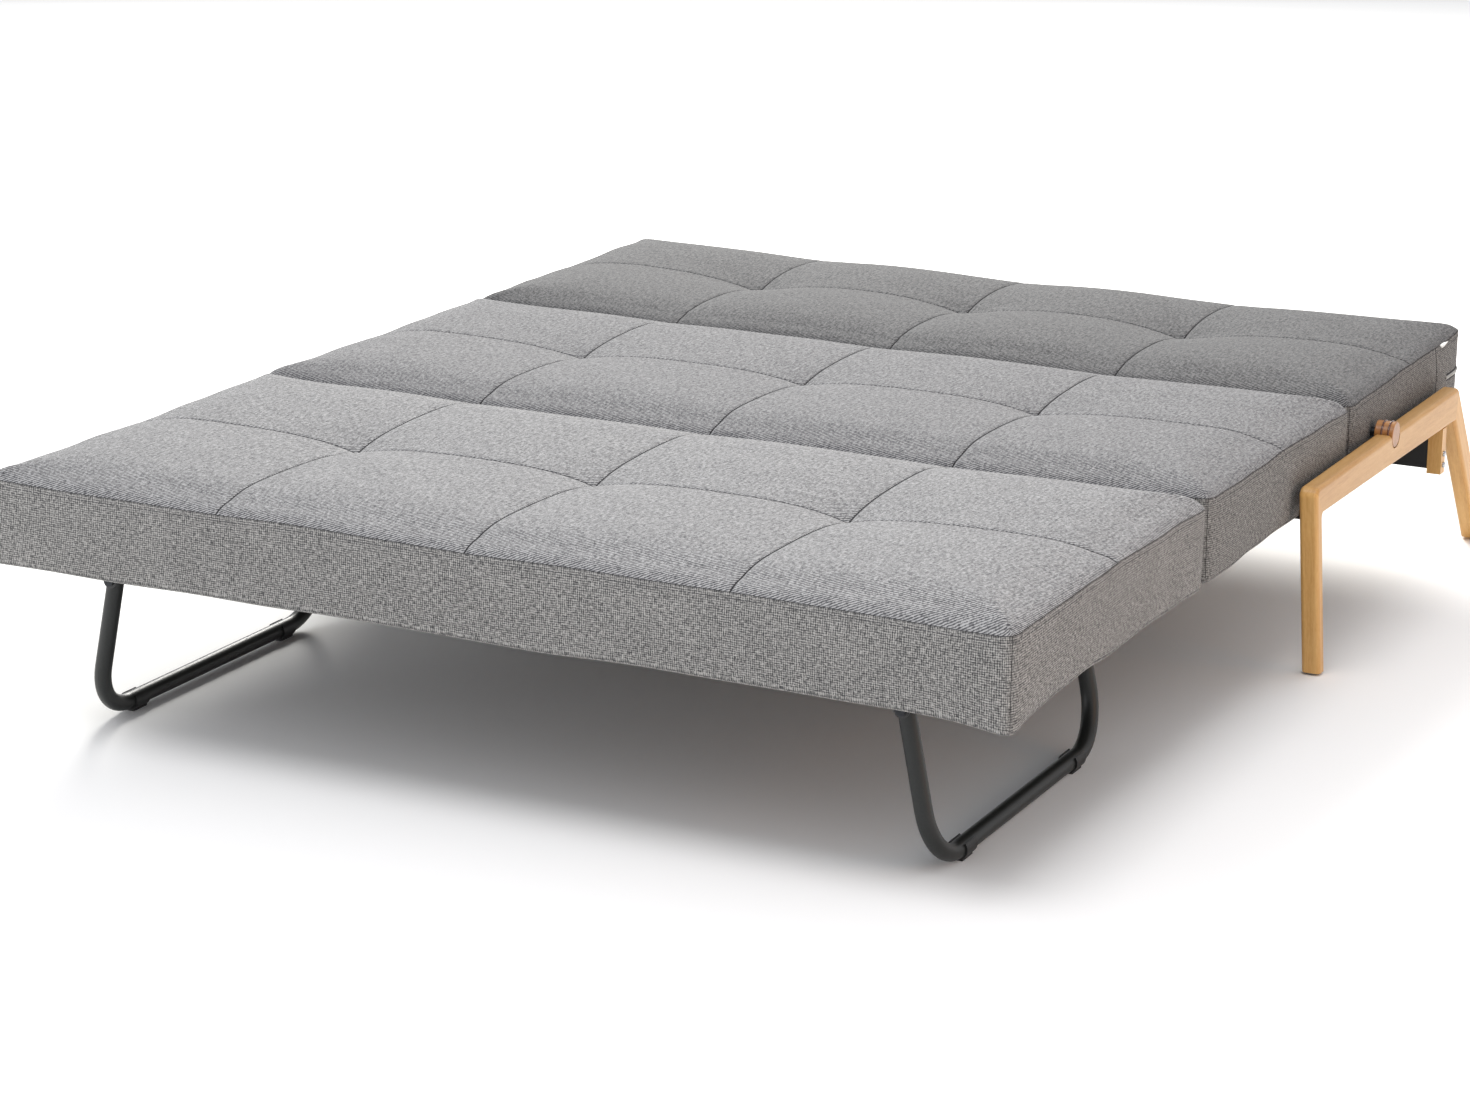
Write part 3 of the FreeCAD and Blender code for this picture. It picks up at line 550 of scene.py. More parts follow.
def inflate(points, faces, hold):
    """Blow a held skin up and return how far each point moved."""
    skin = add_mesh("light_skin", points.tolist(), faces.tolist())
    group = skin.vertex_groups.new(name="held")
    for weight in np.unique(hold[hold > 0]):
        group.add(np.flatnonzero(hold == weight).tolist(), float(weight), "REPLACE")
    cloth = skin.modifiers.new("cloth", "CLOTH")
    cloth.settings.use_pressure = True
    cloth.settings.uniform_pressure_force = 4
    cloth.settings.vertex_group_mass = "held"
    cloth.settings.effector_weights.gravity = 0
    cloth.settings.quality = 5
    cloth.point_cache.frame_start = 1
    cloth.point_cache.frame_end = cloth_frames
    scene = bpy.context.scene
    for number in range(1, cloth_frames + 1):
        scene.frame_set(number)
    shown = skin.evaluated_get(bpy.context.evaluated_depsgraph_get())
    moved = np.empty(len(points) * 3, np.float32)
    shown.data.vertices.foreach_get("co", moved)
    bpy.data.objects.remove(skin)
    scene.frame_set(1)
    return moved.reshape(-1, 3) - points


def capped(moves, cap):
    """Moves shortened so that none passes the cap."""
    length = np.linalg.norm(moves, axis=1, keepdims=True)
    return moves * (cap * np.tanh(length / cap) / np.maximum(length, not_zero))


# %% [markdown]
# ## Making a cushion
# One function makes all three: lattice, sewn shape, simulation, then faces with the right cloth. Tops take the
# twill, bands and base the basket weave, and the narrow rows of faces along each seam take a darker cloth, as
# painted shade in the seam's fold. Near an edge or a corner the cloth is doubled and stiff, so the swelling fades
# out there. Where two sections meet they are only 3 mm apart, so there it is kept inside the gap. The cloth's own
# length over the shoulder is added up in short steps, so that the weave isn't stretched there.

# %% Cushion helpers
fine_step = 10 * mm
pocket_fold = 0.5 * mm
line_room = 2.5 * mm
edge_room = 1.05
upright_step = 0.8
one_step = 9.0                # longer than any side, so that no line is added between two marks
close_offsets = (seam_half_width, 2.6 * mm, 4.5 * mm, 8 * mm)
edge_fold = 0.7 * mm
edge_offsets = (0.5 * mm, 1.6 * mm, 3.5 * mm, 6.5 * mm, 11 * mm, 17 * mm, 25 * mm)
stiff_edge = 42 * mm
stiff_top, stiff_band = 0.1, 0.15
shoulder_steps = np.linspace(0, 1, 41)
shoulder_arc = np.concatenate([[0], np.cumsum(np.hypot(np.diff(shoulder_width * shoulder_steps),
                                                       np.diff(shoulder_height * shoulder_rise(shoulder_steps))))])
print("cloth over the shoulder", round(float(shoulder_arc[-1]) / mm, 1), "mm, seen from above",
      round(shoulder_width / mm))


def cushion_lines(plan, step, offsets, edges):
    """Lattice lines of a cushion along X, Y and Z."""
    low, high = plan["low"], plan["high"]
    pocket_low, pocket_high = plan["pocket"]
    made = []
    for axis, seams in ((0, seam_columns), (1, (plan["tuft_y"], *plan["side_seams"]))):
        lines = lattice_lines(low[axis], high[axis], step, seams, (0.0, *offsets))
        ends = lattice_lines(low[axis], high[axis], one_step, (low[axis], high[axis]), (0.0, *edges))
        pocket_edge = [pocket_low[axis] - pocket_fold, pocket_low[axis] + pocket_fold,
                       pocket_high[axis] - pocket_fold, pocket_high[axis] + pocket_fold]
        keep = np.concatenate([ends, pocket_edge])
        clear = [line for line in lines if np.abs(keep - line).min() > line_room
                 and min(line - low[axis], high[axis] - line) > edges[-1] * edge_room]
        made.append(np.array(sorted([*clear, *keep])))
    made.append(lattice_lines(low[2], high[2], step * upright_step, (low[2], high[2], high[2] - topstitch_drop),
                              (0.0, *offsets[:1], edge_fold) if offsets else (0.0,)))
    return made


def cloth_places(lattice, plan):
    """Metres along the top panel, with the cloth that goes over the shoulders counted in."""
    low, high = plan["low"][:2], plan["high"][:2]
    inward = from_sides(lattice, plan)
    length = np.interp(inward, shoulder_width * shoulder_steps, shoulder_arc)
    length += np.maximum(inward - shoulder_width, 0)
    side = np.sign(lattice[:, :2] - (low + high) / 2)
    return (low + high) / 2 + side * ((high - low) / 2 + shoulder_arc[-1] - shoulder_width - length)


def freedom(lattice, plan):
    """How far each point may follow the swelling, from little at a doubled edge to 1."""
    inward = from_sides(lattice, plan)
    on_top = lattice[:, 2] > plan["high"][2] - touching
    return np.where(on_top, stiff_top + (1 - stiff_top) * smooth(inward.min(1) / stiff_edge),
                    stiff_band + (1 - stiff_band) * smooth(inward.max(1) / stiff_edge))[:, None]


def swollen(name, sides, fine, points, plan):
    """Inflate a light copy and read its moves back onto the fine skin."""
    light = cushion_lines(plan, light_step, (), light_edges)
    light_lattice, light_sides = lattice_skin(*light)
    light_points = sewn_shape(light_lattice, plan, False)
    moves = inflate(light_points, skin_faces(light_sides), holding(light_lattice, plan))
    print(name, "swells by up to %.1f mm before the cap" % (np.linalg.norm(moves, axis=1).max() / mm))
    moves = capped(moves, plan["cap"]) * freedom(light_lattice, plan)
    grown = points.copy()
    for key, (grid, axes, _) in sides.items():
        coarse = moves[light_sides[key][0]]
        fine_moves = refine_grid([light[axis] for axis in axes], coarse, [fine[axis] for axis in axes])
        inner = (slice(1, -1), slice(1, -1)) if key in ("base", "top") else (slice(None), slice(None))
        grown[grid[inner]] = points[grid[inner]] + fine_moves[inner]
    return grown


# %% Cushion builder
def cloth_of_faces(key, middle, plan):
    """Which cloth each face of a side takes: 0 top, 1 side, 2 seam fold with painted shade."""
    inward = from_sides(middle, plan)
    if key == "top":
        near = np.abs(middle[:, 1] - plan["tuft_y"]) < seam_half_width
        for column in seam_columns:
            near |= np.abs(middle[:, 0] - column) < seam_half_width
        return np.where(near, 2, 0)
    if key == "base":
        return np.ones(len(middle), int)
    fold = plan["high"][2] - middle[:, 2] < edge_fold
    if key in ("foot", "head"):
        fold |= inward[:, 0] < edge_offsets[0]
    else:
        fold |= inward[:, 1] < edge_offsets[1]
        for seam in plan["side_seams"]:
            fold |= np.abs(middle[:, 1] - seam) < seam_half_width
    return np.where(fold, 2, 1)


def build_cushion(name, body, node, plan, covers):
    """Build, inflate and dress one cushion, and let it ride on its body."""
    fine = cushion_lines(plan, fine_step, close_offsets, edge_offsets)
    lattice, sides = lattice_skin(*fine)
    points = sewn_shape(lattice, plan, True)
    points = swollen(name, sides, fine, points, plan)
    points[:, 1] = np.clip(points[:, 1], plan["low"][1] - plan["foot_room"],
                           plan["high"][1] + plan["head_room"])
    open_underside(points, lattice, plan)
    faces, cloths, places = [], [], []
    over_top = cloth_places(lattice, plan)
    for key, (grid, axes, flipped) in sides.items():
        quads = side_faces(grid, flipped)
        faces.append(quads)
        cloths.append(cloth_of_faces(key, lattice[quads].mean(1), plan))
        places.append((over_top[quads] if key == "top" else lattice[quads][:, :, axes]).reshape(-1, 2))
    cushion = add_mesh(name, points.tolist(), np.concatenate(faces).tolist(), *covers)
    cushion.data.polygons.foreach_set("material_index", np.concatenate(cloths))
    cushion.data.uv_layers.new(name="cloth").uv.foreach_set("vector", np.concatenate(places).ravel())
    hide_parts(node)
    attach(cushion, body)
    print(name, len(points), "points, height", round(float(points[:, 2].max()), 4))
    return cushion, points, sides, fine


# %% [markdown]
# ## Plans of the three sections
# Each plan holds one section's box, its tuft row, its frame pocket, and the room for swelling at its two ends.
# Foam settles a little differently in each, so tufts and troughs differ in depth, and some corners hang lower.
# Corner lifts are given front left, front right, rear left and rear right. Tucks and nods are given for the
# foot end and the head end. The back also has an upright seam on each side, where its rear band with the zip
# begins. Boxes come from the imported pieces, so a change to the model carries through.

# %% Foot, seat and back plans
gap_room = 1.0 * mm
free_room = 6 * mm
back_front_skirt = 43 * mm
pocket_gap = 0.3 * mm
sections = {
    "foot": {"body": "foot", "room": (free_room, gap_room), "tuft_from_head": 355, "tuft": 17, "dip": 5, "cap": 12,
             "seam_lift": (2, -3, 0, -6), "base_lift": (-3, -13, 0, 0), "tuck": (1, 9), "nod": (0, 2),
             "side_seams": ()},
    "seat": {"body": "base", "room": (gap_room, gap_room), "tuft_from_head": 325, "tuft": 14, "dip": 3, "cap": 12,
             "seam_lift": (4, 3, -5, -6), "base_lift": (0, 0, 0, 0), "tuck": (4, 4), "nod": (0, 2),
             "side_seams": ()},
    "back": {"body": "back", "room": (gap_room, free_room), "tuft_from_head": 287, "tuft": 20, "dip": 8, "cap": 17,
             "seam_lift": (-5, -3, -5, 5), "base_lift": (0, 0, 0, 0), "tuck": (4, 2), "nod": (1, 0),
             "side_seams": (145,)}}
cushions = {}
for seed, (section, facts) in enumerate(sections.items()):
    node = section + "_cushion"
    low, high = corners_of(node)
    low[2] += base_radius
    high[2] -= shoulder_height - crown_room
    front = back_front_skirt if section == "back" else skirt
    pocket_top = corners_of(section + "_slats")[1][2] + pocket_gap
    plan = {"low": low, "high": high, "tuft_y": high[1] - facts["tuft_from_head"] * mm, "seed": 11 + 2 * seed,
            "pocket": (np.array([low[0] + skirt, low[1] + front, 0]),
                       np.array([high[0] - skirt, high[1] - skirt, pocket_top])),
            "foot_room": facts["room"][0], "head_room": facts["room"][1]}
    for part in ("tuft", "dip", "cap", "seam_lift", "base_lift", "tuck", "nod"):
        plan[part] = np.array(facts[part]) * mm
    plan["side_seams"] = [high[1] - distance * mm for distance in facts["side_seams"]]
    cushions[section] = (*build_cushion(node + "_cover", facts["body"], node, plan, cloths[section]), plan)


# %% [markdown]
# ## Stitches
# The edge seam is held flat by a row of stitches on the band below it. Each stitch is 4 mm of thick polyester
# thread that dives into the cloth at both ends. A bump could hint at them, but a real row catches light from
# every side, so each stitch is a small bowed tube, and one function lays a row along any path on a surface.

# %% Rows of stitches
def ring(cushion, level):
    """Points round a cushion's band at a height, and the directions that point out of it."""
    _, points, sides, fine, _ = cushion
    row = int(np.abs(fine[2] - level).argmin())
    loops = [sides["foot"][0][:, row], sides["right"][0][1:, row], sides["head"][0][-2::-1, row],
             sides["left"][0][-2:0:-1, row]]
    path = points[np.concatenate(loops)]
    ahead = np.roll(path, -1, 0) - np.roll(path, 1, 0)
    out = np.stack([ahead[:, 1], -ahead[:, 0], np.zeros(len(path))], 1)
    return path, out / np.linalg.norm(out, axis=1, keepdims=True)


def lay_row(name, body, path, out, length, gap, radius, material, slot, closed=True, rise=0.25):
    """Small bowed tubes along a path, such as stitches, staples or zip teeth."""
    if closed:
        path, out = np.vstack([path, path[:1]]), np.vstack([out, out[:1]])
    along = np.concatenate([[0], np.cumsum(np.linalg.norm(np.diff(path, axis=0), axis=1))])
    count = int(along[-1] / (length + gap))
    starts = (np.arange(count) + 0.5) * along[-1] / count - length / 2
    corners = 6
    stations, turns = np.array([0.0, 0.18, 0.5, 0.82, 1.0]), np.arange(corners) * math.tau / corners
    swell, bow = np.array([0.25, 0.9, 1.0, 0.9, 0.25]), np.array([-0.6, 0.1, rise, 0.1, -0.6])
    last = corners * (len(stations) - 1)
    beside = [corners * (at // corners) + (at + 1) % corners for at in range(last)]
    tube = [(at, beside[at], beside[at] + corners, at + corners) for at in range(last)]
    tube += [tuple(range(corners - 1, -1, -1)), tuple(range(last, last + corners))]
    verts, faces = [], []
    for start in starts:
        place = np.stack([np.interp(start + stations * length, along, path[:, axis]) for axis in range(3)], 1)
        away = np.array([np.interp(start + length / 2, along, out[:, axis]) for axis in range(3)])
        ahead = place[-1] - place[0]
        side = np.cross(ahead / np.linalg.norm(ahead), away)
        faces += [tuple(len(verts) + corner for corner in face) for face in tube]
        for centre, size, lift in zip(place, swell, bow):
            verts += [tuple(centre + radius * (lift * away + size * (math.cos(turn) * away + math.sin(turn) * side)))
                      for turn in turns]
    row = add_mesh(name, verts, faces, material)
    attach(row, body)
    print(name, count, "pieces along", round(float(along[-1]), 2), "m")
    return row


# %% [markdown]
# ## Thread and top stitching
# Charcoal polyester thread, twisted from two plies. The twist gives a slight satin that the cloth doesn't have.

# %% Edge stitching
def plain_finish(name, hex_colour, pattern, size, spread, relief, **surface):
    """A finish with one colour, a fine pattern in its shade and roughness, and a slight relief."""
    material, tree, shader = start_material(name, **surface)
    place = add_node(tree, "ShaderNodeTexCoord").outputs["Object"]
    texture = add_node(tree, pattern, {"Vector": place, "Scale": 1 / size})
    height = texture.outputs["Fac" if pattern == "ShaderNodeTexNoise" else "Distance"]
    tint_and_relief(tree, shader, height, ((0.3, shaded(hex_colour, 1 - spread)), (0.7, hex_colour)), relief,
                    finish_depth)
    base = surface["Roughness"]
    rough = add_node(tree, "ShaderNodeMapRange", {"Value": height, "To Min": base * 0.85, "To Max": base * 1.15})
    tree.links.new(rough.outputs["Result"], shader.inputs["Roughness"])
    return material


noise, cells = "ShaderNodeTexNoise", "ShaderNodeTexVoronoi"
finish_depth = 0.3 * mm
stitch, stitch_gap, thread_radius = 4.2 * mm, 1.8 * mm, 0.7 * mm
thread = plain_finish("charcoal_polyester_thread", "#4b4b4e", noise, 1.2 * mm, 0.3, 0.3, Roughness=0.7)
on_back = []
for section, facts in sections.items():
    level = cushions[section][4]["high"][2] - topstitch_drop
    row = lay_row(section + "_top_stitching", facts["body"], *ring(cushions[section], level), stitch, stitch_gap,
                  thread_radius, thread, "grey_upholstery")
    if section == "back":
        on_back.append(row)

# %% [markdown]
# ## Beech
# The side frames are solid European beech, planed, rounded over and oiled. Beech is pale and warm, with faint
# growth bands a centimetre or so wide and short dark flecks along the grain. The oil leaves a soft gloss. Noise
# is drawn out along each board, which is why the rail, the raked legs, the posts and the turned knobs each
# have a material with a grain direction of their own. The rail's copy is also a little darker, as painted shade.
# Real flecks are 0.5 mm wide. They are drawn 2 mm wide so that they show.

# %% Wood
grain_depth = 0.25 * mm


def board(name, shades, lean, along, pores=1.0, Roughness=0.42):
    """Oiled wood. lean turns about X first, then the grain runs along X, Y or Z."""
    material, tree, shader = start_material(name, Roughness=Roughness, IOR=1.5, Coat_Weight=0.12,
                                            Coat_Roughness=0.35)
    place = add_node(tree, "ShaderNodeTexCoord").outputs["Object"]
    turned = add_node(tree, "ShaderNodeMapping", {"Vector": place, "Rotation": (lean, 0, 0)}).outputs["Vector"]
    streaks = ((13 * mm, 260 * mm, 0.65), (2.0 * mm, 42 * mm, 0.45 * pores), (2.2 * mm, 9 * mm, 0.3))
    grain = 0.5 - 0.5 * sum(share for _, _, share in streaks)
    for across, length, share in streaks:
        scale = [1 / across] * 3
        scale["XYZ".index(along)] = 1 / length
        drawn = add_node(tree, "ShaderNodeMapping", {"Vector": turned, "Scale": scale})
        pattern = add_node(tree, "ShaderNodeTexNoise", {"Vector": drawn.outputs["Vector"], "Scale": 1.0,
                                                        "Detail": 3.0, "Distortion": 0.4})
        grain = add_node(tree, "ShaderNodeMath", {0: pattern.outputs["Fac"], 1: share, 2: grain},
                         operation="MULTIPLY_ADD").outputs["Value"]
    tint_and_relief(tree, shader, grain, ((0.22, shades[0]), (0.8, shades[2]), (0.52, shades[1])), 0.15,
                    grain_depth)
    return material


beech = ("#b5813f", "#cb9c5a", "#d8ad6e")
front_lean, rear_lean = math.radians(-11), math.radians(-35)
# Painted shade: the rail's beech is darkened, because its top faces up into the room light and would come out
# lighter than the legs.
rail_beech_painted_shade = [shaded(colour, 0.88) for colour in beech]


def both(*pieces):
    """The right and the left one of each piece."""
    return [side + piece for piece in pieces for side in ("right_", "left_")]


dress(board("oiled_beech_rail", rail_beech_painted_shade, 0.0, "Y"), *both("side_rail"))
dress(board("oiled_beech_front_leg", beech, front_lean, "Z"), *both("front_leg"))
dress(board("oiled_beech_rear_leg", beech, rear_lean, "Z"), *both("rear_leg"))
dress(board("oiled_beech_post", beech, 0.0, "Z"), *both("beam_post"))
dress(board("turned_beech_knob", ("#7a4a20", "#a06a35", "#bd8850"), 0.0, "X", Roughness=0.32), *both("knob"))
dress(board("birch_plywood_slat", ("#c2a06a", "#d9be8c", "#e6d2a8"), 0.0, "X", 0.6, 0.5),
      "seat_slats", "foot_slats", "back_slats")

# %% [markdown]
# ## Steel, rubber and plastic
# The sled legs and frames are steel tube with a baked powder coat: a satin skin with a very fine orange peel.
# Hinge pins, screws and bolts under the seat are zinc plated, which is grey and a little cloudy. The leg pins
# are blackened in hot oil. The shafts of the knobs take the same near-black finish as painted shade, so that
# they read as the shadow in the gap beside each knob. The bolts through the posts are bright chrome. Clips and
# glides are moulded nylon with a fine spark texture, and the rings on the knobs are reddish rubber, polished
# by use.

# %% Metal and plastic finishes
tubes = [section + part for section in sections for part in ("_front_tube", "_rear_tube", "_centre_tube")]
tubes += both(*(section + "_side_tube" for section in sections))
fine_peel = 2.4 * mm
for name, hex_colour, pattern, size, spread, relief, surface, pieces in (
        ("black_powder_coat", "#262627", noise, fine_peel, 0.25, 0.25, {"Roughness": 0.5},
         (*tubes, "seat_hinge_arms", "foot_hinge_arms", *both("seat_brackets", "leg_brackets"))),
        ("anthracite_satin_powder_coat", "#232524", noise, fine_peel, 0.25, 0.3,
         {"Roughness": 0.4, "Specular_IOR_Level": 0.4}, both("sled_leg")),
        ("matt_black_powder_coat", "#1b1b1c", noise, fine_peel, 0.3, 0.3, {"Roughness": 0.7}, ("rear_crossbeam",)),
        ("zinc_plated_steel", "#b4b7bb", cells, 5 * mm, 0.3, 0.1, {"Metallic": 1.0, "Roughness": 0.38},
         ("hinge_pins", "bracket_screws", "bracket_bolts")),
        # The knobs' shafts take this dark finish as painted shade for the gap beside each knob.
        ("blackened_pin_and_shaft_shade", "#3c3d40", noise, 2 * mm, 0.3, 0.1, {"Metallic": 1.0, "Roughness": 0.45},
         both("leg_pins", "pivot_shaft")),
        ("bright_chrome", "#b4b7bb", noise, 6 * mm, 0.1, 0.02, {"Metallic": 1.0, "Roughness": 0.14},
         ("beam_bolts",)),
        ("moulded_black_nylon", "#1f2020", noise, 1.6 * mm, 0.3, 0.35, {"Roughness": 0.5}, both("sled_clips")),
        ("moulded_grey_nylon", "#6d6b67", noise, 1.6 * mm, 0.2, 0.3, {"Roughness": 0.5}, ("leg_glides",)),
        ("polished_red_rubber", "#5c2f1c", noise, 3 * mm, 0.3, 0.1,
         {"Roughness": 0.16, "Coat_Weight": 0.8, "Coat_Roughness": 0.08}, both("knob_rings"))):
    dress(plain_finish(name, hex_colour, pattern, size, spread, relief, **surface), *pieces)

# %% [markdown]
# ## Cloth panels underneath
# A thin cloth closes the bottom of each cushion and keeps dust out of the foam: black felted polypropylene
# under the foot and seat, and the cover's own basket weave on the back, because it shows when the back stands
# up. It is pulled over the frame and stapled every 60 mm, so it is tight at its edge and sags by a millimetre
# or two in the middle. The foot section's cloth is the tightest, because the folded legs lie just below it. A
# cloth simulation would only find this same shallow sag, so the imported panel's outline is cut into a fine grid
# and lowered by a smooth curve.

# %% Panels and staples
felt = plain_finish("black_spunbond_felt", "#232324", cells, 4 * mm, 0.45, 0.5, Roughness=0.95)
staple_wire = plain_finish("galvanised_staple_wire", "#a9abad", noise, 1 * mm, 0.2, 0.1, Metallic=1.0,
                           Roughness=0.35)
panel_margin = 9 * mm
panel_below = 0.8 * mm
panel_grid = 24 * mm
staple, staple_gap, staple_radius = 10 * mm, 50 * mm, 0.6 * mm
staple_inset, staple_below = 5 * mm, 0.2 * mm
facing_down, at_rim = -0.9, 1 - 1e-4
sag_wave, sag_turns = 0.25, (9.0, 14.0)


def cloth_panel(name, node, body, material, sag):
    """A stretched cloth cut to a packed panel's outline, with its edge lapped over the skirt, and its staples."""
    low, high = corners_of(node)
    cut = bmesh.new()
    cut.from_mesh(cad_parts[node].data)
    cut.normal_update()
    bmesh.ops.delete(cut, geom=[face for face in cut.faces if face.normal.z > facing_down], context="FACES")
    for axis in (0, 1):
        for line in np.arange(low[axis] + panel_grid, high[axis], panel_grid):
            place, normal = [0, 0, 0], [0, 0, 0]
            place[axis], normal[axis] = line, 1
            bmesh.ops.bisect_plane(cut, geom=cut.verts[:] + cut.edges[:] + cut.faces[:], plane_co=place,
                                   plane_no=normal)
    flat_area = sum(face.calc_area() for face in cut.faces)
    layer = cut.loops.layers.uv.new("cloth")
    half, middle = (high - low) / 2, (high + low) / 2
    for face in cut.faces:
        for loop in face.loops:
            loop[layer].uv = loop.vert.co.xy
    for vert in cut.verts:
        share = [(vert.co[axis] - middle[axis]) / half[axis] for axis in (0, 1)]
        depth = sag * (1 - share[0] ** 4) * (1 - share[1] ** 4)
        depth *= 1 + sag_wave * math.sin(vert.co.x * sag_turns[0]) * math.sin(vert.co.y * sag_turns[1])
        for axis in (0, 1):
            if abs(share[axis]) > at_rim:
                vert.co[axis] += math.copysign(panel_margin, share[axis])
        vert.co.z = low[2] - panel_below - depth
    panel = add_mesh(name, [], [], material)
    cut.to_mesh(panel.data)
    cut.free()
    panel.data.shade_smooth()
    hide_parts(node)
    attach(panel, body)
    inset = half[:2] + panel_margin - staple_inset
    path = np.array([[middle[0] + x * inset[0], middle[1] + y * inset[1], low[2] - panel_below - staple_below]
                     for x, y in four_corners])
    row = lay_row(name + "_staples", body, path, np.tile([0.0, 0.0, -1.0], (4, 1)), staple, staple_gap,
                  staple_radius, staple_wire, "zinc_steel")
    return panel, row


cloth_panel("foot_dust_cloth", "foot_dust_cover", "foot", felt, sag=0.7 * mm)
cloth_panel("seat_dust_cloth", "seat_dust_cover", "base", felt, sag=2.5 * mm)
on_back += cloth_panel("back_rear_cloth", "back_rear_cover", "back", cloths["back"][1],
                       sag=1.5 * mm)

# %% [markdown]
# ## Foam pad under the back's frame
# The back section's frame lies in the middle of its cushion, so a second, thinner block of foam fills the
# space below it. It is cut foam with open cells and eased edges, and it shows only if the cloth is taken off.

# %% Lower foam pad
foam = plain_finish("cut_polyether_foam", "#e3ddc6", cells, 3 * mm, 0.25, 0.6, Roughness=0.95)
pad_low, pad_high = corners_of("back_lower_pad")
above_cloth, pad_step, pad_rounding = 1.5 * mm, 30 * mm, 6 * mm
pad_low[2] += above_cloth
pad_lines = [lattice_lines(pad_low[axis], pad_high[axis], pad_step, (pad_low[axis], pad_high[axis]),
                           (0.0, 2 * mm, pad_rounding)) for axis in range(3)]
pad_points, pad_sides = lattice_skin(*pad_lines)
pad_half, pad_middle = (pad_high - pad_low) / 2, (pad_high + pad_low) / 2
core = np.clip(pad_points - pad_middle, pad_rounding - pad_half, pad_half - pad_rounding)
offset = pad_points - pad_middle - core
reach = np.maximum(np.linalg.norm(offset, axis=1, keepdims=True), not_zero)
pad_points = pad_middle + core + offset / reach * np.minimum(reach, pad_rounding)
pad = add_mesh("back_foam_pad", pad_points.tolist(), skin_faces(pad_sides).tolist(), foam)
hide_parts("back_lower_pad")
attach(pad, "back")
on_back.append(pad)
print("foam pad", len(pad_points), "points")

# %% [markdown]
# ## Zip and care tag
# The back's cover comes off by a zip along the middle of its rear band. It starts on the left side, passes
# round the head end, and stops on the right side in a light moulded end. A coil zip is a row of small plastic
# loops on a dark tape, so teeth are laid across a strip that follows the band. The tag is a folded loop of
# white woven tape, caught in the edge seam and left blank. It is a few millimetres smaller than the packed
# piece, rises a little as it leaves the seam, and droops at its front end.

# %% Zip along the rear band
back_plan = cushions["back"][4]
end_low, end_high = corners_of("zip_end")
zip_level = (end_low[2] + end_high[2]) / 2
band, band_out = ring(cushions["back"], zip_level)
behind = np.flatnonzero(band[:, 1] > end_low[1])
zip_path, zip_out = band[behind[0]:behind[-1] + 1], band_out[behind[0]:behind[-1] + 1]
zip_path = zip_path + [0, 0, zip_level - zip_path[:, 2].mean()]
acetal = plain_finish("light_grey_acetal", "#a3a39f", noise, 1.5 * mm, 0.15, 0.1, Roughness=0.35)
tape_cloth = plain_finish("charcoal_zip_tape", "#333335", noise, 1.4 * mm, 0.35, 0.4, Roughness=0.9)
white_tape = plain_finish("white_woven_tape", "#e9e8e3", noise, 1.2 * mm, 0.12, 0.4, Roughness=0.85)


def strip(name, path, profile, material, body):
    """A strip along a path. profile gives pairs of (out, up) offsets across it."""
    steps, rows = len(path), len(profile)
    verts = [tuple(place + out * away + np.array([0, 0, up])) for place, away in path for out, up in profile]
    faces = [(step * rows + row, (step + 1) * rows + row, (step + 1) * rows + row + 1, step * rows + row + 1)
             for step in range(steps - 1) for row in range(rows - 1)]
    made = add_mesh(name, verts, faces, material)
    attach(made, body)
    print(name, steps, "steps")
    return made


tape_profile = [(-0.6 * mm, -7 * mm), (0.5 * mm, -6.2 * mm), (0.7 * mm, -3 * mm), (0.6 * mm, 0.0),
                (0.7 * mm, 3 * mm), (0.5 * mm, 6.2 * mm), (-0.6 * mm, 7 * mm)]
on_back.append(strip("back_zip_tape", list(zip(zip_path, zip_out)), tape_profile, tape_cloth,
                     "back"))
tooth, tooth_gap, tooth_radius = 2.4 * mm, 0.8 * mm, 2.0 * mm
on_back.append(lay_row("back_zip_coil", "back", zip_path, zip_out, tooth, tooth_gap, tooth_radius, acetal,
                       "zip_plastic", closed=False, rise=0.35))

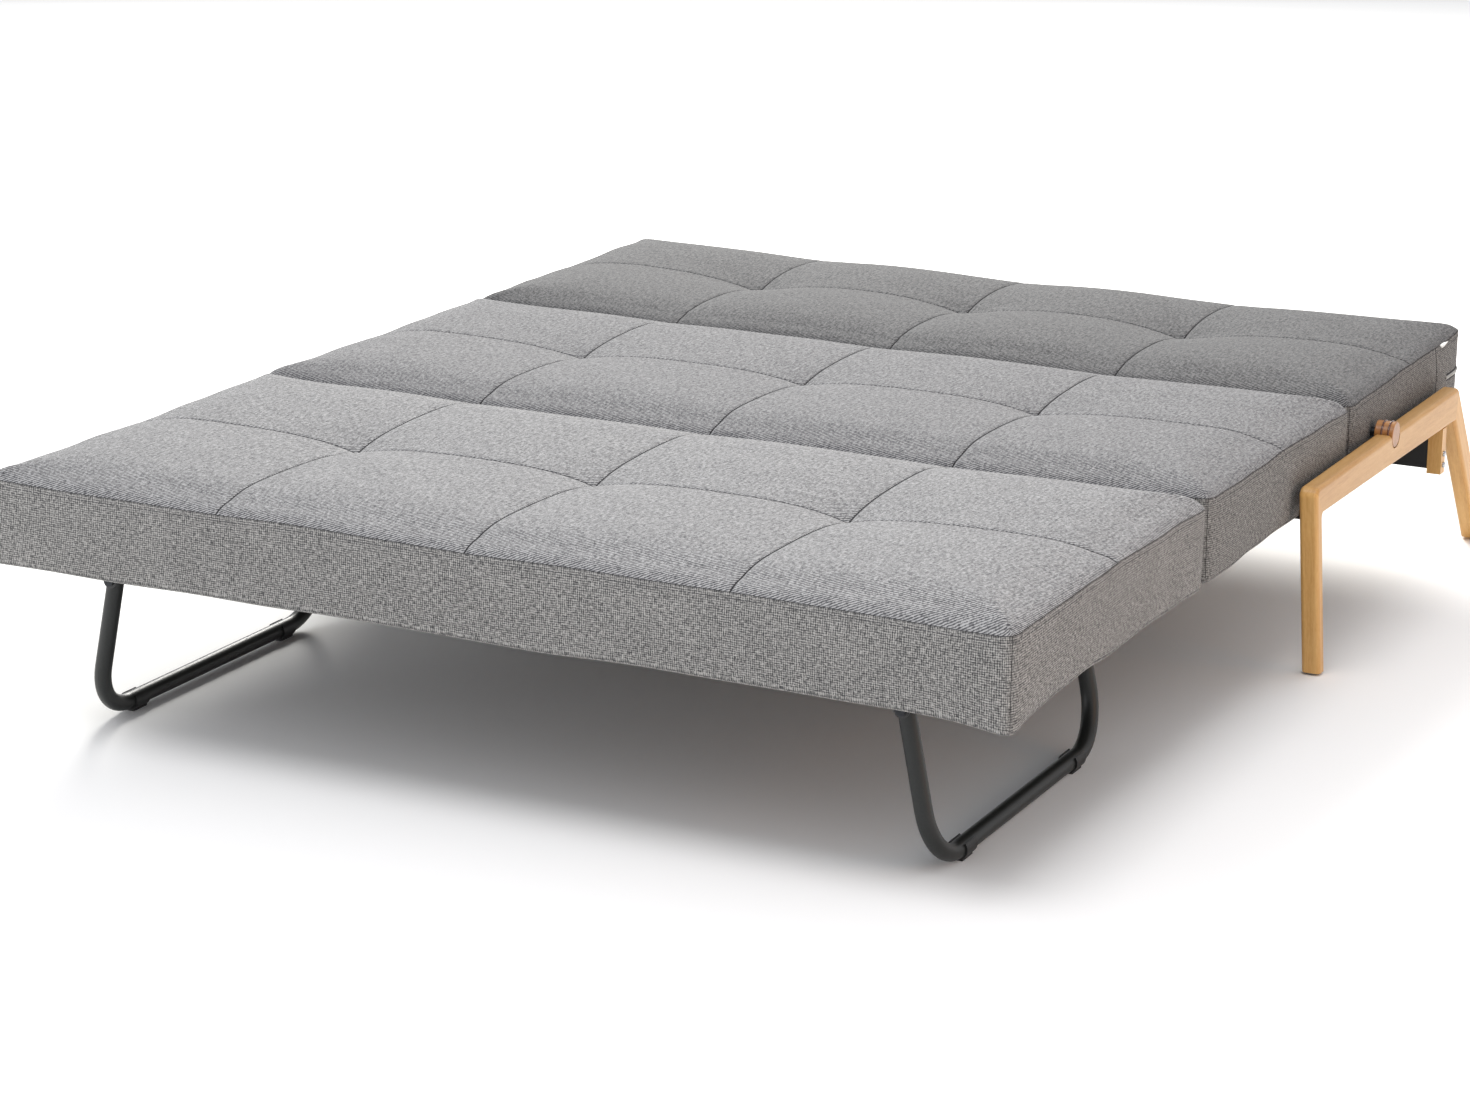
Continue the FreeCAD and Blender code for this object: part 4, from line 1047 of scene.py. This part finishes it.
# %% Zip end and tag
end_sunk, end_wall = 0.3 * mm, 1.2 * mm
reach_x = float(zip_path[:, 0].max())
end_steps = [(np.array([reach_x - end_sunk, y, zip_level]), np.array([1.0, 0, 0]))
             for y in np.linspace(end_low[1], end_high[1], 13)]
end_profile = [(0.0, -3.2 * mm), (1.2 * mm, -2.8 * mm), (2.0 * mm, -1.2 * mm), (2.2 * mm, 0.0),
               (2.0 * mm, 1.2 * mm), (1.2 * mm, 2.8 * mm), (0.0, 3.2 * mm)]
zip_end = strip("back_zip_end", end_steps, end_profile, acetal, "back")
thick = zip_end.modifiers.new("thickness", "SOLIDIFY")
thick.thickness = end_wall
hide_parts("zip_end")
on_back.append(zip_end)

tag_low, tag_high = corners_of("side_tag")
tag_shorter, tag_narrower, tag_forward = 3 * mm, 6 * mm, 4 * mm
tag_reach = tag_high[0] - tag_low[0] - tag_shorter
tag_width = tag_high[1] - tag_low[1] - tag_narrower
tag_front = tag_low[1] - tag_forward
tag_fold = 1.2 * mm
tag_inside, tag_under = 1.0 * mm, 0.3 * mm
seam_before_tag, seam_end = 60 * mm, 30 * mm
tag_slope = 0.4
tag_droop = math.radians(55)
seam = ring(cushions["back"], back_plan["high"][2])[0]
seam = seam[(seam[:, 0] > 0) & (seam[:, 1] > tag_low[1] - seam_before_tag)
            & (seam[:, 1] < back_plan["high"][1] - seam_end)]
seam = seam[np.argsort(seam[:, 1])]
upper = [(tag_reach * part / 8 - tag_inside, tag_slope * tag_reach * part / 8 - tag_under) for part in range(9)]
bend = [(upper[8][0] + tag_fold / 2 * math.sin(turn), upper[8][1] - tag_fold / 2 * (1 - math.cos(turn)))
        for turn in np.linspace(0, math.pi, 7)[1:-1]]
under = [(out, up - tag_fold * (0.4 + 0.6 * part / 8)) for part, (out, up) in enumerate(upper)]
tag_profile = [*upper, *bend, *reversed(under)]
tag_steps = []
for y in np.linspace(tag_front, tag_front + tag_width, 9):
    droop = tag_droop * (1 - (y - tag_front) / tag_width) ** 2
    at_seam = np.array([np.interp(y, seam[:, 1], seam[:, axis]) for axis in range(3)])
    tag_steps.append((at_seam, np.array([math.cos(droop), 0, -math.sin(droop)])))
tag = strip("blank_side_tag", tag_steps, tag_profile, white_tape, "back")
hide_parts("side_tag")
on_back.append(tag)

# %% [markdown]
# ## The back's soft pieces
# When the back turns up on its knobs, its front end swings down behind the seat, and the soft foam there is
# squeezed by the seat's rear band, while the steel frame inside keeps its length. Here the back's cover and the
# soft pieces that ride on it are only given meshes of their own, not shared with any other object.

# %% Own meshes for the back's soft pieces
for piece in (cushions["back"][0], *on_back):
    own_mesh(piece)
